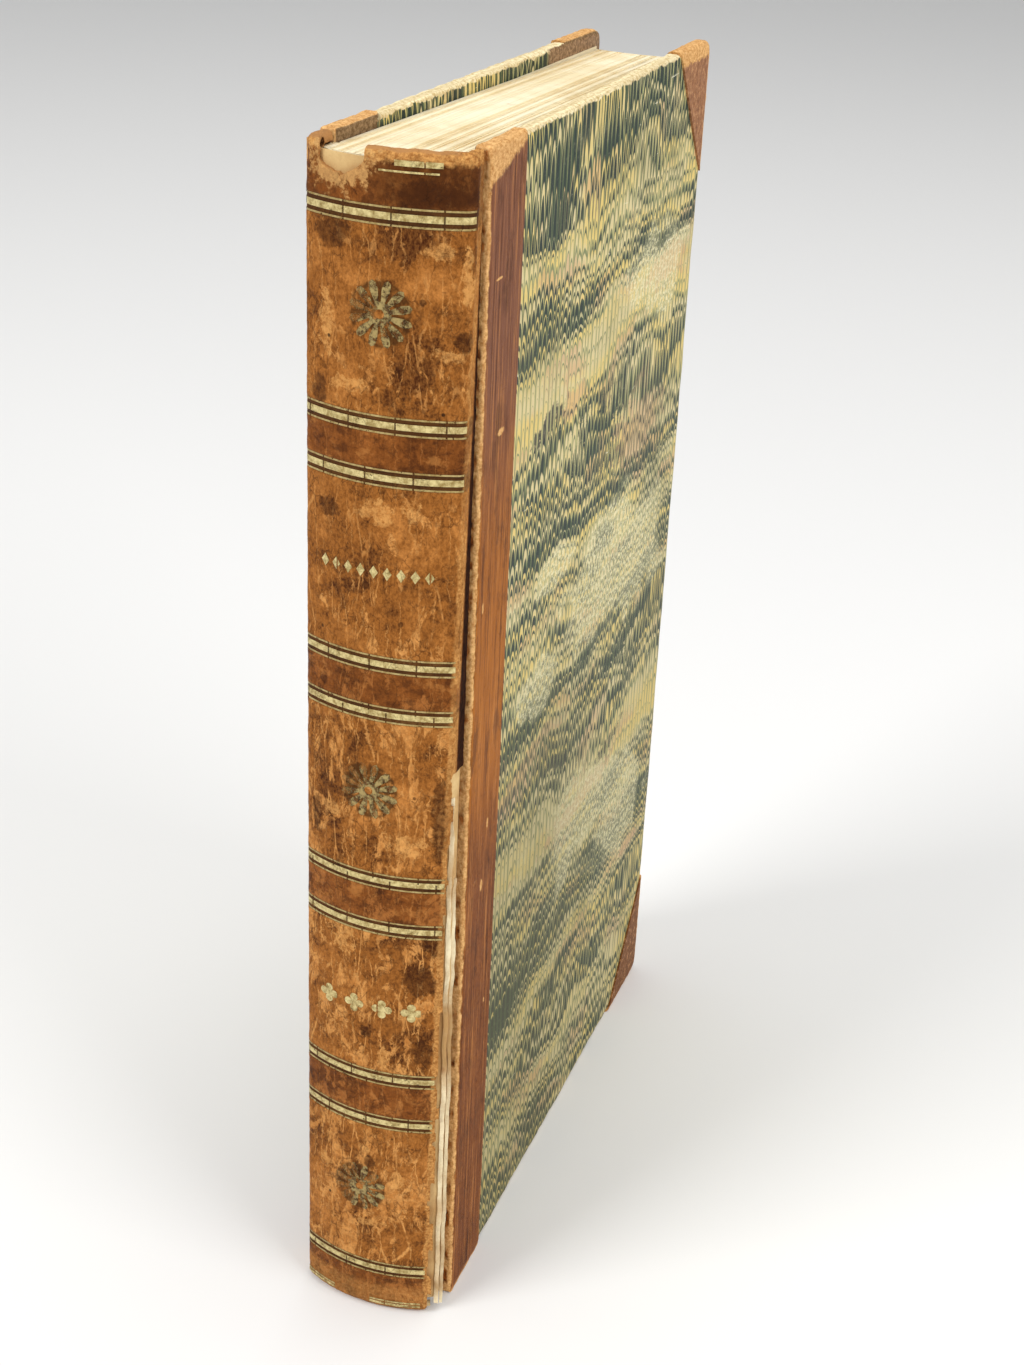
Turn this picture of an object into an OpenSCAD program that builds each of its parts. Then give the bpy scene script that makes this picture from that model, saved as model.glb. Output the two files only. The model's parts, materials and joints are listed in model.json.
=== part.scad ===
// Antique half-leather book: calf spine and corners, marbled paper sides.
// It stands on its tail. X runs through its thickness with the front board at +X,
// Y runs from the rounded spine to the fore-edge, and Z runs from tail to head.

/* [Boards] */
// Height of the covered boards, tail to head
board_h = 228; // [200:1:260]
// Width of the covered boards, joint to fore-edge
board_w = 128; // [110:1:150]
// Thickness of the bare pasteboard
core_t = 2.2; // [1.6:0.1:4]
// How far each board leans in towards the fore-edge
fore_lean = 1.1; // [0:0.1:4]
// Radius of the worn fore-edge corners
corner_r = 3; // [1.5:0.5:6]
// Gap between the boards and the shoulders of the pages
joint_gap = 0.5; // [0.4:0.1:1.5]

/* [Pages] */
// Thickness of the sewn pages at the joints
pages_t = 21.7; // [16:0.1:40]
// Overhang of the boards beyond the pages at the fore-edge
square_w = 3.5; // [2.4:0.1:6]
// Overhang of the boards beyond the pages at the head, beside the spine
head_square = 2.1; // [2.1:0.1:5]
// Overhang of the boards beyond the pages at the tail, beside the spine
tail_square = 3.4; // [3:0.1:6]
// How much lower the pages sit at the fore-edge than at the spine
page_sag = 2; // [0:0.1:2.5]
// Depth of the hollow along the fore-edge
fore_hollow = 1.6; // [0.4:0.1:4]
// Thickness of each flyleaf
flyleaf_t = 0.25; // [0.15:0.05:0.5]
// Clearance between a flyleaf and its board
cover_gap = 0.15; // [0.1:0.05:0.6]
// Diameter of the sewing cords
cord_d = 1.6; // [1:0.1:2.2]

/* [Spine] */
// How far the spine stands ahead of the boards
spine_ahead = 9.3; // [8:0.1:13]
// Radius of the rounded back
back_r = 29.8; // [27:0.1:60]
// Radius of the pages' shoulders, under the lining and the turned-in calf
page_corner_r = 0.4; // [0.3:0.1:1.5]
// Clearance between the spine and an opened board
swing_gap = 0.3; // [0.2:0.1:1]
// Thickness of the calf on the spine
calf_t = 1; // [0.8:0.1:1.4]
// Thickness of the paper lining under the calf
lining_t = 0.4; // [0.2:0.1:0.8]
// Thickness of the calf turned in at head and tail
spine_turn_t = 0.7; // [0.5:0.1:1]
// Depth of the calf turned in at head and tail
spine_turn_d = 11; // [8:1:25]
// Diameter of the cord inside each cap
cap_cord_d = 1.2; // [0.8:0.1:1.4]

/* [Coverings] */
// Thickness of the leather on the boards
leather_t = 0.7; // [0.5:0.05:1.2]
// Thickness of the marbled paper
paper_t = 0.3; // [0.2:0.05:0.45]
// Thickness of what is turned in over the board edges
turn_t = 0.35; // [0.2:0.05:0.6]
// Width of what is turned in over the board edges
turn_w = 10; // [7:0.5:12]
// Width of the leather beside the joint
strip_w = 16.4; // [10:0.2:30]
// Length of a leather corner along head or tail
corner_w = 23; // [15:1:35]
// Length of a leather corner along the fore-edge
corner_h = 27; // [15:1:40]
// Thickness of each pastedown over the turn-ins
pastedown_t = 0.2; // [0.1:0.05:0.4]
// Margin left bare around a pastedown
pastedown_edge = 3.5; // [2:0.5:7]
// Thickness of the frayed cord ends on the boards
slip_t = 0.5; // [0.3:0.1:0.8]

/* [Tooling] */
// Height of the plain calf below the lowest fillet
tail_margin = 10.6; // [8:0.2:16]
// Height of the plain calf above the highest fillet
head_margin = 10.3; // [8:0.2:16]
// Mean height between the two fillets of a false band
strip_h = 9.6; // [6:0.2:14]
// Extra height of the tail panel
tail_extra = 2.7; // [0:0.1:6]
// Width of the broad line of each fillet
broad_line = 1.1; // [0.6:0.1:1.4]
// Width of the fine lines of each fillet
fine_line = 0.3; // [0.2:0.05:0.5]
// Space between the lines of a fillet
line_space = 0.65; // [0.4:0.05:1]
// Depth that the fillets are pressed into the calf
tool_depth = 0.12; // [0.08:0.02:0.3]
// Thickness of the gold
gilt_t = 0.06; // [0.04:0.02:0.1]
// Radius of the rosettes
rosette_r = 5.5; // [3:0.25:7]
// Height of the lozenge tool
lozenge_h = 2.3; // [1.6:0.1:3.4]
// Step of the lozenge row
lozenge_step = 2.4; // [1.8:0.1:2.5]
// Width of the four-petal tool
flower_w = 3.9; // [2.4:0.1:5]
// Step of the four-petal row
flower_step = 5.6; // [5.1:0.1:6]

/* [Hidden] */

FIT = 0.05;
BIG = 300;
PANELS = 5;
CORDS = PANELS - 1;
// The false bands grow narrower towards the head by this much each
STRIP_DRIFT = 0.43;

CALF = [0.60, 0.36, 0.16];
STRIP_LEATHER = [0.45, 0.26, 0.17];
MARBLED = [0.62, 0.62, 0.42];
PAGE = [0.93, 0.89, 0.77];
PAPER = [0.90, 0.86, 0.74];
PASTEBOARD = [0.72, 0.62, 0.46];
HEMP = [0.76, 0.66, 0.48];
GILT = [0.80, 0.75, 0.55];

// Boards: X = 0 is the outer face of the leather, Y = 0 the joint edge
board_t = leather_t + core_t + turn_t + pastedown_t;
core_out = -leather_t;
core_in = core_out - core_t;
turn_in = core_in - turn_t;
page_side = -(board_t + cover_gap + flyleaf_t);
hinge_x = pages_t / 2 - page_side;
lean = asin(fore_lean / board_w);
page_w = board_w - square_w;
page_top = board_h - head_square;
page_h = page_top - tail_square;
y_shift = (spine_ahead - board_w * cos(lean)) / 2;

// The back in plan: an arc, a shoulder arc on each side and a short wall to the joint.
// Its layers are measured inwards from the outer face of the calf.
lining_in = calf_t + lining_t;
turned_in = lining_in + spine_turn_t;
shoulder_r = turned_in + page_corner_r;
half_w = hinge_x - swing_gap;
back_y = back_r - spine_ahead;
shoulder_a = asin((half_w - shoulder_r) / (back_r - shoulder_r));
shoulder_y = back_y - (back_r - shoulder_r) * cos(shoulder_a);
arc_len = back_r * shoulder_a * PI / 180;
shoulder_len = shoulder_r * (90 - shoulder_a) * PI / 180;
wall_len = -joint_gap - shoulder_y;
side_len = arc_len + shoulder_len + wall_len;

// Point of the back at t along it from the middle, sunk by d, with its outward turn
function back_turn(t) = abs(t) <= arc_len ? abs(t) / back_r * 180 / PI
    : min(90, shoulder_a + (abs(t) - arc_len) / shoulder_r * 180 / PI);
function back_point(t, d) = let (
        side = t < 0 ? -1 : 1,
        a = back_turn(t),
        in_arc = abs(t) <= arc_len,
        cx = in_arc ? 0 : half_w - shoulder_r,
        cy = in_arc ? back_y : shoulder_y,
        r = in_arc ? back_r : shoulder_r,
        wall = max(0, abs(t) - arc_len - shoulder_len))
    [side * (cx + (r - d) * sin(a)), cy - (r - d) * cos(a) + wall];

// Stations along one half of the back, and along a stretch of it
ARC_STEPS = 6;
SHOULDER_STEPS = 4;
half_stations = concat(
    [for (i = [0 : ARC_STEPS]) arc_len * i / ARC_STEPS],
    [for (i = [1 : SHOULDER_STEPS]) arc_len + shoulder_len * i / SHOULDER_STEPS],
    [side_len]);
stations = concat([for (i = [len(half_stations) - 1 : -1 : 1]) -half_stations[i]], half_stations);
function stretch(a, b) = concat([a], [for (t = stations) if (t > a + 0.2 && t < b - 0.2) t], [b]);

// The roll of the caps, with a cord inside
cap_t = calf_t + cap_cord_d + 2 * FIT + spine_turn_t;
cap_r = cap_t / 2;
cap_hole_r = cap_cord_d / 2 + FIT;
cap_hole_d = calf_t + cap_hole_r;
cap_z = board_h - spine_turn_t - cap_hole_r;
cord_reach = arc_len - 0.4;

// Heights of the ruled panels, counted from the tail
panel_h = (board_h - tail_margin - head_margin - tail_extra - CORDS * strip_h) / PANELS;
fillet_h = broad_line + 2 * fine_line + 2 * line_space;
function panel_low(p) = tail_margin + p * (panel_h + strip_h) + (p > 0 ? tail_extra : 0)
    - STRIP_DRIFT * p * (p - CORDS) / 2;
function panel_high(p) = panel_low(p) + panel_h + (p == 0 ? tail_extra : 0);
function panel_mid(p) = (panel_low(p) + panel_high(p)) / 2;
function cord_z(i) = (panel_high(i) + panel_low(i + 1)) / 2;
fillets = [for (p = [0 : PANELS - 1]) each [panel_low(p), panel_high(p)]];

// The calf has shrunk from the front joint, more at the tail, and its tooling with it
EDGE_SHRINK = 2.75;
GILT_SHRINK = 3.75;
TOOL_SHRINK = 2.4;
function calf_edge_y(z) = shoulder_y + 0.45 - EDGE_SHRINK * (1 - pow(max(0, z) / board_h, 1.6))
    + 0.22 * sin(z * 23) + 0.15 * sin(z * 61);
function gilt_end(z) = arc_len + shoulder_len - 0.6 - GILT_SHRINK * (1 - z / board_h);
function tool_shift(z) = 0.65 - TOOL_SHRINK * (1 - z / board_h);

module in_book() {
    translate([0, y_shift, 0]) children();
}

module on_front() {
    in_book() translate([hinge_x, 0, 0]) rotate([0, 0, lean]) children();
}

module on_back() {
    mirror([1, 0, 0]) on_front() children();
}

// Extrudes a drawing made in (Y, Z) from x_low to x_high
module slab(x_low, x_high) {
    translate([x_low, 0, 0]) rotate([90, 0, 90]) linear_extrude(x_high - x_low) children();
}

// Solid carried through rings of points that all hold the same number of points
module loft(rings) {
    n = len(rings);
    m = len(rings[0]);
    polyhedron(
        points = [for (r = rings) each r],
        faces = concat(
            [[for (j = [0 : m - 1]) j]],
            [[for (j = [m - 1 : -1 : 0]) (n - 1) * m + j]],
            [for (k = [0 : n - 2]) for (j = [0 : m - 1])
                [k * m + j, (k + 1) * m + j, (k + 1) * m + (j + 1) % m, k * m + (j + 1) % m]]),
        convexity = 8);
}

// Ring of the back between two depths, over the stretch a to b
module back_band(a, b, d_out, d_in) {
    ts = stretch(a, b);
    polygon(concat([for (t = ts) back_point(t, d_out)], reversed([for (t = ts) back_point(t, d_in)])));
}

// Section (depth, height) lofted along the stretch a to b of the back
module along_back(section, a, b) {
    loft([for (t = stretch(a, b)) [for (s = section) let (q = back_point(t, s[0])) [q[0], q[1], s[1]]]]);
}

function reversed(list) = [for (i = [len(list) - 1 : -1 : 0]) list[i]];
function ring_points(d, z, r, steps) =
    [for (i = [0 : steps - 1]) let (a = 360 * i / steps) [d + r * cos(a), z + r * sin(a)]];

// Outline of the pages in plan: a rounded back, square shoulders and a hollow fore-edge
module page_outline() {
    near = [hinge_x + page_side * cos(lean), page_side * sin(lean)];
    far = [near[0] - page_w * sin(lean), near[1] + page_w * cos(lean)];
    hollow_r = (far[0] * far[0] + fore_hollow * fore_hollow) / (2 * fore_hollow);
    hollow_a = asin(far[0] / hollow_r);
    polygon(concat(
        [for (t = stations) back_point(t, lining_in)],
        [near, far],
        [for (i = [5 : -1 : -5]) let (a = hollow_a * i / 6)
            [hollow_r * sin(a), far[1] - fore_hollow + hollow_r * (1 - cos(a))]],
        [[-far[0], far[1]], [-near[0], near[1]]]));
}

// Space between the ends of the pages, whose weight has let them down towards the fore-edge
module between_page_ends() {
    fall = atan(page_sag / (page_w + spine_ahead));
    translate([0, -spine_ahead, tail_square]) rotate([-fall, 0, 0])
        translate([-pages_t, -spine_ahead, 0]) cube([2 * pages_t, 2 * page_w, page_h * cos(fall)]);
}

// All the pages, as one solid
module text_block() {
    color(PAGE) in_book() difference() {
        intersection() {
            linear_extrude(board_h) page_outline();
            between_page_ends();
        }
        for (z = [0, board_h - spine_turn_d - FIT]) {
            translate([0, 0, z]) linear_extrude(spine_turn_d + FIT)
                back_band(-side_len - 1, side_len + 1, -1, turned_in + FIT);
        }
        for (i = [0 : CORDS - 1]) {
            translate([0, 0, cord_z(i) - cord_d / 2 - FIT]) linear_extrude(cord_d + 2 * FIT)
                back_band(-arc_len, arc_len, -1, lining_in + cord_d + FIT);
        }
    }
}

// Paper over the back of the pages, bare in the front joint and at the torn head
module spine_lining() {
    color(PAPER) in_book() translate([0, 0, tail_square]) linear_extrude(page_h)
        back_band(-side_len, side_len - 1, calf_t + FIT, lining_in);
}

module sewing_cord(i) {
    color(HEMP) in_book()
        along_back(ring_points(lining_in + cord_d / 2, cord_z(i), cord_d / 2, 8), -cord_reach, cord_reach);
}

module cap_cord(z, a) {
    color(HEMP) in_book()
        along_back(ring_points(cap_hole_d, z, cap_cord_d / 2, 8), a, arc_len);
}

// Section of a cap, drawn at the head, over pages that end a square below the boards:
// over the roll, down the turned-in calf and up the lining slot
function cap_section(square) = let (
        slot_a = acos((lining_in - cap_hole_d) / cap_hole_r),
        page_end = board_h - square)
    concat(
        [for (a = [180 : -30 : 0]) [cap_r + cap_r * cos(a), board_h - cap_r + cap_r * sin(a)]],
        [[cap_t, page_end + FIT], [turned_in, page_end + FIT]],
        [[turned_in, board_h - spine_turn_d], [lining_in + FIT / 2, board_h - spine_turn_d]],
        [for (i = [0 : 8]) let (a = -slot_a + (slot_a + 190) * i / 8)
            [cap_hole_d + cap_hole_r * cos(a), cap_z + cap_hole_r * sin(a)]],
        [[calf_t, page_end]]);

// Calf over the spine, rolled over a cord at head and tail, with ten pressed fillets
module spine_leather() {
    head = cap_section(head_square);
    tail = reversed([for (q = cap_section(tail_square)) [q[0], board_h - q[1]]]);
    wall = [for (z = fillets) each [
        [0, z - fillet_h / 2 - tool_depth], [tool_depth, z - fillet_h / 2],
        [tool_depth, z + fillet_h / 2], [0, z + fillet_h / 2 + tool_depth]]];
    color(CALF) in_book() difference() {
        along_back(reversed(concat(wall, head, tail)), -side_len, side_len);
        worn_front_edge();
        torn_head();
    }
}

// What is gone along the front joint, cut back along a ragged edge. Above the tear
// only the skin of the calf is gone, and a layer of its flesh is left in the joint.
RAGGED_STEPS = 32;
TEAR_SHARE = 0.52;
FLESH_T = 0.5;
EDGE_STEP = 0.4;
module worn_front_edge() {
    rise = (board_h + 2) / RAGGED_STEPS;
    for (i = [0 : RAGGED_STEPS - 1]) {
        from_x = i < TEAR_SHARE * RAGGED_STEPS ? half_w - 3 : half_w - FLESH_T;
        hull() for (z = [rise * i - 1, rise * (i + 1) - 1]) {
            translate([from_x, calf_edge_y(z), z]) cube([hinge_x, spine_ahead, EDGE_STEP]);
        }
    }
}

// What is gone of the head cap beside the back board
module torn_head() {
    torn = [[0.76, 1], [0.77, -2.0], [0.76, -3.6], [0.72, -3.9], [0.67, -4.3], [0.60, -4.5], [0.545, -4.9],
        [0.50, -4.6], [0.465, -5.3], [0.43, -4.7], [0.41, -4.6], [0.35, -4.1], [0.285, -3.6], [0.24, -3.0],
        [0.20, -2.4], [0.205, -0.6], [0.16, 1]];
    rotate([90, 0, 0]) linear_extrude(spine_ahead + 1)
        polygon([for (q = torn) [-q[0] * half_w, board_h + q[1]]]);
}

// Gold lines of the fillets, and what is left of the pair beside each cap
GILT_SEAT = 0.02;
module gilt_line(z, width, a, b) {
    translate([0, 0, z - width / 2]) linear_extrude(width)
        back_band(a, b, tool_depth - gilt_t - GILT_SEAT, tool_depth - GILT_SEAT);
}

// A line beside a cap, between two shares of the arc
module cap_line(z, width, from, to) {
    translate([0, 0, z]) linear_extrude(width) back_band(from * arc_len, to * arc_len, -gilt_t, 0);
}

module gilt_fillets() {
    fine_off = (broad_line + fine_line) / 2 + line_space;
    color(GILT) in_book() {
        for (z = fillets) {
            gilt_line(z - fine_off, fine_line, 1 - side_len, gilt_end(z));
            gilt_line(z, broad_line, 1 - side_len, gilt_end(z));
            gilt_line(z + fine_off, fine_line, 1 - side_len, gilt_end(z));
        }
        cap_line(board_h - cap_r - broad_line, broad_line * 0.8, 0.18, 0.74);
        cap_line(board_h - cap_r - broad_line - 1, fine_line, -0.01, 0.7);
        for (part = [[-1.08, -0.52], [0.08, 0.84]]) {
            cap_line(cap_r + FIT, broad_line * 0.5, part[0], part[1]);
            cap_line(cap_r + FIT + broad_line * 0.75, fine_line, part[0], part[1]);
        }
    }
}

// Lays a drawing made in (X, Z) on the spine as gold leaf, centred at t, z
module laid_on_spine(t, z, reach) {
    q = back_point(t, 0);
    intersection() {
        translate([q[0], 0, z]) rotate([90, 0, 0]) linear_extrude(spine_ahead + 2) children();
        translate([0, 0, z - reach]) linear_extrude(2 * reach)
            back_band(t - reach * 1.3, t + reach * 1.3, -gilt_t, 0);
    }
}

// Round flower tool: twelve petals about a pierced boss
module rosette() {
    difference() {
        union() {
            circle(r = rosette_r * 0.36);
            for (a = [15 : 30 : 345]) {
                rotate(a) polygon([[0.2 * rosette_r, -0.03 * rosette_r], [0.72 * rosette_r, -0.13 * rosette_r],
                    [0.93 * rosette_r, -0.10 * rosette_r], [rosette_r, 0], [0.93 * rosette_r, 0.10 * rosette_r],
                    [0.72 * rosette_r, 0.13 * rosette_r], [0.2 * rosette_r, 0.03 * rosette_r]]);
            }
        }
        circle(r = rosette_r * 0.14);
    }
}

module gilt_rosettes() {
    color(GILT) in_book() for (p = [0 : 2 : PANELS - 1]) {
        z = panel_mid(p) + 1.3;
        laid_on_spine(tool_shift(z), z, rosette_r + 0.3) rosette();
    }
}

// Lozenge and four-petal tools, set in rows in the other two panels
LOZENGES = 9;
FLOWERS = 4;

module lozenge() {
    polygon([[lozenge_h / 3, 0], [0, lozenge_h / 2], [-lozenge_h / 3, 0], [0, -lozenge_h / 2]]);
}

module four_petals() {
    circle(r = flower_w * 0.18);
    for (a = [0 : 90 : 270]) {
        rotate(a) translate([flower_w * 0.3, 0]) circle(r = flower_w * 0.2);
    }
}

module gilt_small_tools() {
    upper = panel_mid(PANELS - 2);
    lower = panel_mid(1) - 1;
    color(GILT) in_book() {
        for (i = [0 : LOZENGES - 1]) {
            t = (i - (LOZENGES - 1) / 2) * lozenge_step + tool_shift(upper);
            laid_on_spine(t, upper, lozenge_h * 0.7) lozenge();
        }
        for (i = [0 : FLOWERS - 1]) {
            t = (i - (FLOWERS - 1) / 2) * flower_step + tool_shift(lower);
            laid_on_spine(t + 0.8, lower, flower_w * 0.6) four_petals();
        }
    }
}

// Board outline in (Y, Z) with worn fore-edge corners, set in by d from the covered edges
module board_outline(d) {
    r = corner_r - d;
    y = board_w - corner_r;
    arc = [for (i = [0 : 5]) 90 * i / 5];
    polygon(concat(
        [[0, d]],
        [for (a = arc) [y + r * sin(a), corner_r - r * cos(a)]],
        [for (a = arc) [y + r * cos(a), board_h - corner_r + r * sin(a)]],
        [[0, board_h - d]]));
}

module flyleaf() {
    color(PAPER) intersection() {
        slab(page_side, page_side + flyleaf_t) translate([0.5, 0]) square([page_w - 0.5, board_h]);
        between_page_ends();
    }
}

module front_flyleaf() {
    on_front() flyleaf();
}

module back_flyleaf() {
    on_back() flyleaf();
}

// Frayed ends of the sewing cords, pasted flat in channels of the board
SLIP_LEN = 12;
module slips(clear) {
    slab(core_out - slip_t - clear, core_out) for (i = [0 : CORDS - 1]) {
        translate([0, cord_z(i)]) polygon([[0, -cord_d / 2 - clear], [SLIP_LEN + clear, -3 - clear],
            [SLIP_LEN + clear, 3 + clear], [0, cord_d / 2 + clear]]);
    }
}

module cord_slips() {
    color(HEMP) slips(0);
}

module front_cord_slips() {
    on_front() cord_slips();
}

module back_cord_slips() {
    on_back() cord_slips();
}

module board() {
    color(PASTEBOARD) difference() {
        slab(core_in, core_out) board_outline(leather_t);
        slips(FIT);
    }
}

module front_board() {
    on_front() board();
}

module back_board() {
    on_back() board();
}

// Skin of thickness t over the outer face and edges of a board, turned in all round
module skin(t) {
    difference() {
        slab(turn_in, core_out + t) board_outline(leather_t - t);
        slab(core_in, core_out) board_outline(leather_t);
        slab(turn_in - 1, core_in) translate([-1, turn_w]) square([board_w - turn_w + 1, board_h - 2 * turn_w]);
    }
}

// Corner fields in (Y, Z), at the tail or the head
module corner_field(head) {
    low = [[board_w - corner_w, -1], [board_w - corner_w, 0], [board_w, corner_h],
        [board_w + 1, corner_h], [board_w + 1, -1]];
    polygon([for (q = low) [q[0], head ? board_h - q[1] : q[1]]]);
}

module leather_strip() {
    color(STRIP_LEATHER) intersection() {
        skin(leather_t);
        slab(-BIG, BIG) square([strip_w, board_h]);
    }
}

module marbled_side() {
    color(MARBLED) difference() {
        skin(paper_t);
        slab(-BIG, BIG) translate([-1, -1]) square([strip_w + 1, board_h + 2]);
        slab(-BIG, BIG) corner_field(false);
        slab(-BIG, BIG) corner_field(true);
    }
}

module leather_corner(head) {
    color(STRIP_LEATHER) intersection() {
        skin(leather_t);
        slab(-BIG, BIG) corner_field(head);
    }
}

// Pasted half of the endpaper, with the filling between the turn-ins
module pastedown() {
    color(PAPER) {
        slab(-board_t, turn_in) translate([0, pastedown_edge])
            square([board_w - pastedown_edge, board_h - 2 * pastedown_edge]);
        slab(turn_in, core_in) translate([0, turn_w]) square([board_w - turn_w, board_h - 2 * turn_w]);
    }
}

module front_leather_strip() {
    on_front() leather_strip();
}

module back_leather_strip() {
    on_back() leather_strip();
}

module front_marbled_side() {
    on_front() marbled_side();
}

module back_marbled_side() {
    on_back() marbled_side();
}

module front_pastedown() {
    on_front() pastedown();
}

module back_pastedown() {
    on_back() pastedown();
}

text_block();
spine_lining();
sewing_cord(0);  // sewing_cord_1
sewing_cord(1);  // sewing_cord_2
sewing_cord(2);  // sewing_cord_3
sewing_cord(3);  // sewing_cord_4
cap_cord(cap_z, -0.13 * half_w);  // head_cap_cord
cap_cord(board_h - cap_z, -arc_len);  // tail_cap_cord
spine_leather();
gilt_fillets();
gilt_rosettes();
gilt_small_tools();
front_flyleaf();
back_flyleaf();
front_board();
back_board();
front_cord_slips();
back_cord_slips();
front_leather_strip();
back_leather_strip();
front_marbled_side();
back_marbled_side();
on_front() leather_corner(true);  // front_head_corner
on_front() leather_corner(false);  // front_tail_corner
on_back() leather_corner(true);  // back_head_corner
on_back() leather_corner(false);  // back_tail_corner
front_pastedown();
back_pastedown();
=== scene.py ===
"""Antique half-leather book, dressed over its CAD frame.

Lengths are metres, but millimetres inside the materials and in the tables of places.
"""

import json
import math
import random

import bpy
from mathutils import Matrix, Vector

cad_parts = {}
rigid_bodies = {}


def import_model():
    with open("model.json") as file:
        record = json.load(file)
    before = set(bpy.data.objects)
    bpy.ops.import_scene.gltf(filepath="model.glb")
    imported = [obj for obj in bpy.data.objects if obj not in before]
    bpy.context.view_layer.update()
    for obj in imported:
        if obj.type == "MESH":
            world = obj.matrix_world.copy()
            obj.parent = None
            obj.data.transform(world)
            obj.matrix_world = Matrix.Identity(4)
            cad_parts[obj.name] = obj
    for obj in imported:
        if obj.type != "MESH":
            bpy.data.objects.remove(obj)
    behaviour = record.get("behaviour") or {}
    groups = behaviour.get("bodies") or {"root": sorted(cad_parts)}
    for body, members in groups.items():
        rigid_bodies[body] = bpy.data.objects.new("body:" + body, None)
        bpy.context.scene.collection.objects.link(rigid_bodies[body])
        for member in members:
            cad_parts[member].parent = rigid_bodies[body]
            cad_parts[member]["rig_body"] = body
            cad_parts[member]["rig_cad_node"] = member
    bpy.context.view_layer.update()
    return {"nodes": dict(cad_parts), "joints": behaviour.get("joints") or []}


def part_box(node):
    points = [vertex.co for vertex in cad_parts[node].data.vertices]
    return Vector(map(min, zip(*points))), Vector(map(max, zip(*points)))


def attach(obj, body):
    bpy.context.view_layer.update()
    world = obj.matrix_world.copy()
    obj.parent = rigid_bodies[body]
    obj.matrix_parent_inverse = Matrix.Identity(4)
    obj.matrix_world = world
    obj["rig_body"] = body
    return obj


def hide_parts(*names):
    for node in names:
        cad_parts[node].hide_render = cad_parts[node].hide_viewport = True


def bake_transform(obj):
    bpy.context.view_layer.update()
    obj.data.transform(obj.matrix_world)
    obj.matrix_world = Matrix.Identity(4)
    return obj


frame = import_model()

bl_info = {
    "name": "Antique leather book",
    "version": (1, 0, 0),
    "blender": (4, 5, 0),
    "location": "3D View > Sidebar > Book",
    "description": "Builds the looks of an antique half-leather book",
    "category": "Object",
}

MM = 0.001


# Measures taken from the frame

def node_points(name):
    return [v.co for v in frame["nodes"][name].data.vertices]


def hinge(name):
    joint = next(j for j in frame["joints"] if j["name"] == name)
    return Vector(joint["pos_m"])


FRONT_HINGE = hinge("front_cover_hinge")
HINGE_X = FRONT_HINGE.x
JOINT_Y = FRONT_HINGE.y
BOARD_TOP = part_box("front_leather_strip")[1].z
PAGE_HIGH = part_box("text_block")[1]
FORE_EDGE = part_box("front_marbled_side")[1].y
BACK_LOW, BACK_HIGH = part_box("spine_leather")
# Radius of the spine's outer face in millimetres, as in the part's source
SPINE_R = 29.8
SPINE_CENTRE = BACK_LOW.y / MM + SPINE_R
SPINE_TOP = BACK_HIGH.z / MM


def board_lean():
    """Angle at which the front board closes in, read from its leather strip's outer face."""
    strip = node_points("front_leather_strip")
    far = max(strip, key=lambda p: (round(p.y, 5), p.x))
    return math.atan2(HINGE_X - far.x, far.y - JOINT_Y)


LEAN = board_lean()
BOARD_W = (FORE_EDGE - JOINT_Y) / math.cos(LEAN)


def fillet_heights():
    """Middle height of each broad gold line, from the levels of the fillets' solids."""
    levels = sorted({round(p.z, 5) for p in node_points("gilt_fillets")})
    pairs = zip(levels[0::2], levels[1::2])
    return [(low + high) / 2 for low, high in pairs if high - low > 1.0 * MM]


FILLETS = fillet_heights()


# Selecting and shaping, as by hand

def deselect():
    if bpy.context.object and bpy.context.object.mode != "OBJECT":
        bpy.ops.object.mode_set(mode="OBJECT")
    bpy.ops.object.select_all(action="DESELECT")


def take(obj):
    """Selects one object alone and makes it the active one."""
    deselect()
    obj.select_set(True)
    bpy.context.view_layer.objects.active = obj
    return obj


def named(name):
    obj = bpy.context.object
    obj.name = name
    obj.data.name = name
    return obj


def select_where(obj, kind, passes):
    """In edit mode afterwards, with just the faces, edges or points selected that pass."""
    take(obj)
    bpy.ops.object.mode_set(mode="EDIT")
    bpy.ops.mesh.select_mode(type=kind)
    bpy.ops.mesh.select_all(action="DESELECT")
    bpy.ops.object.mode_set(mode="OBJECT")
    elements = {"FACE": obj.data.polygons, "EDGE": obj.data.edges, "VERT": obj.data.vertices}[kind]
    for element in elements:
        element.select = passes(element)
    bpy.ops.object.mode_set(mode="EDIT")


def select_faces(obj, test):
    """Tests each face's centre and normal."""
    select_where(obj, "FACE", lambda face: test(face.center, face.normal))


def select_edges(obj, test):
    """Tests the two ends of each edge."""
    points = obj.data.vertices
    select_where(obj, "EDGE", lambda edge: test(*(points[i].co for i in edge.vertices)))


def select_points(obj, test):
    select_where(obj, "VERT", lambda point: test(point.co))


def leave_edit():
    bpy.ops.object.mode_set(mode="OBJECT")


def round_edges(obj, test, radius, segments):
    """Bevels the edges whose two ends pass the test."""
    select_edges(obj, test)
    bpy.ops.mesh.bevel(offset=radius, segments=segments)
    leave_edit()


def apply_place():
    bpy.ops.object.transform_apply(location=True, rotation=True, scale=True)


def box_piece(name, low, high):
    """A box between two corners, to be shaped further."""
    deselect()
    low, high = Vector(low), Vector(high)
    bpy.ops.mesh.primitive_cube_add(size=1, location=(low + high) / 2)
    obj = named(name)
    obj.scale = high - low
    apply_place()
    return obj


def sheet_piece(name, width, height, across, along):
    """A standing grid in X and Z with its lower left corner at the origin."""
    deselect()
    bpy.ops.mesh.primitive_grid_add(x_subdivisions=across, y_subdivisions=along, size=1)
    obj = named(name)
    obj.scale = (width, height, 1)
    obj.rotation_euler = (math.pi / 2, 0, 0)
    obj.location = (width / 2, 0, height / 2)
    apply_place()
    return obj


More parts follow.
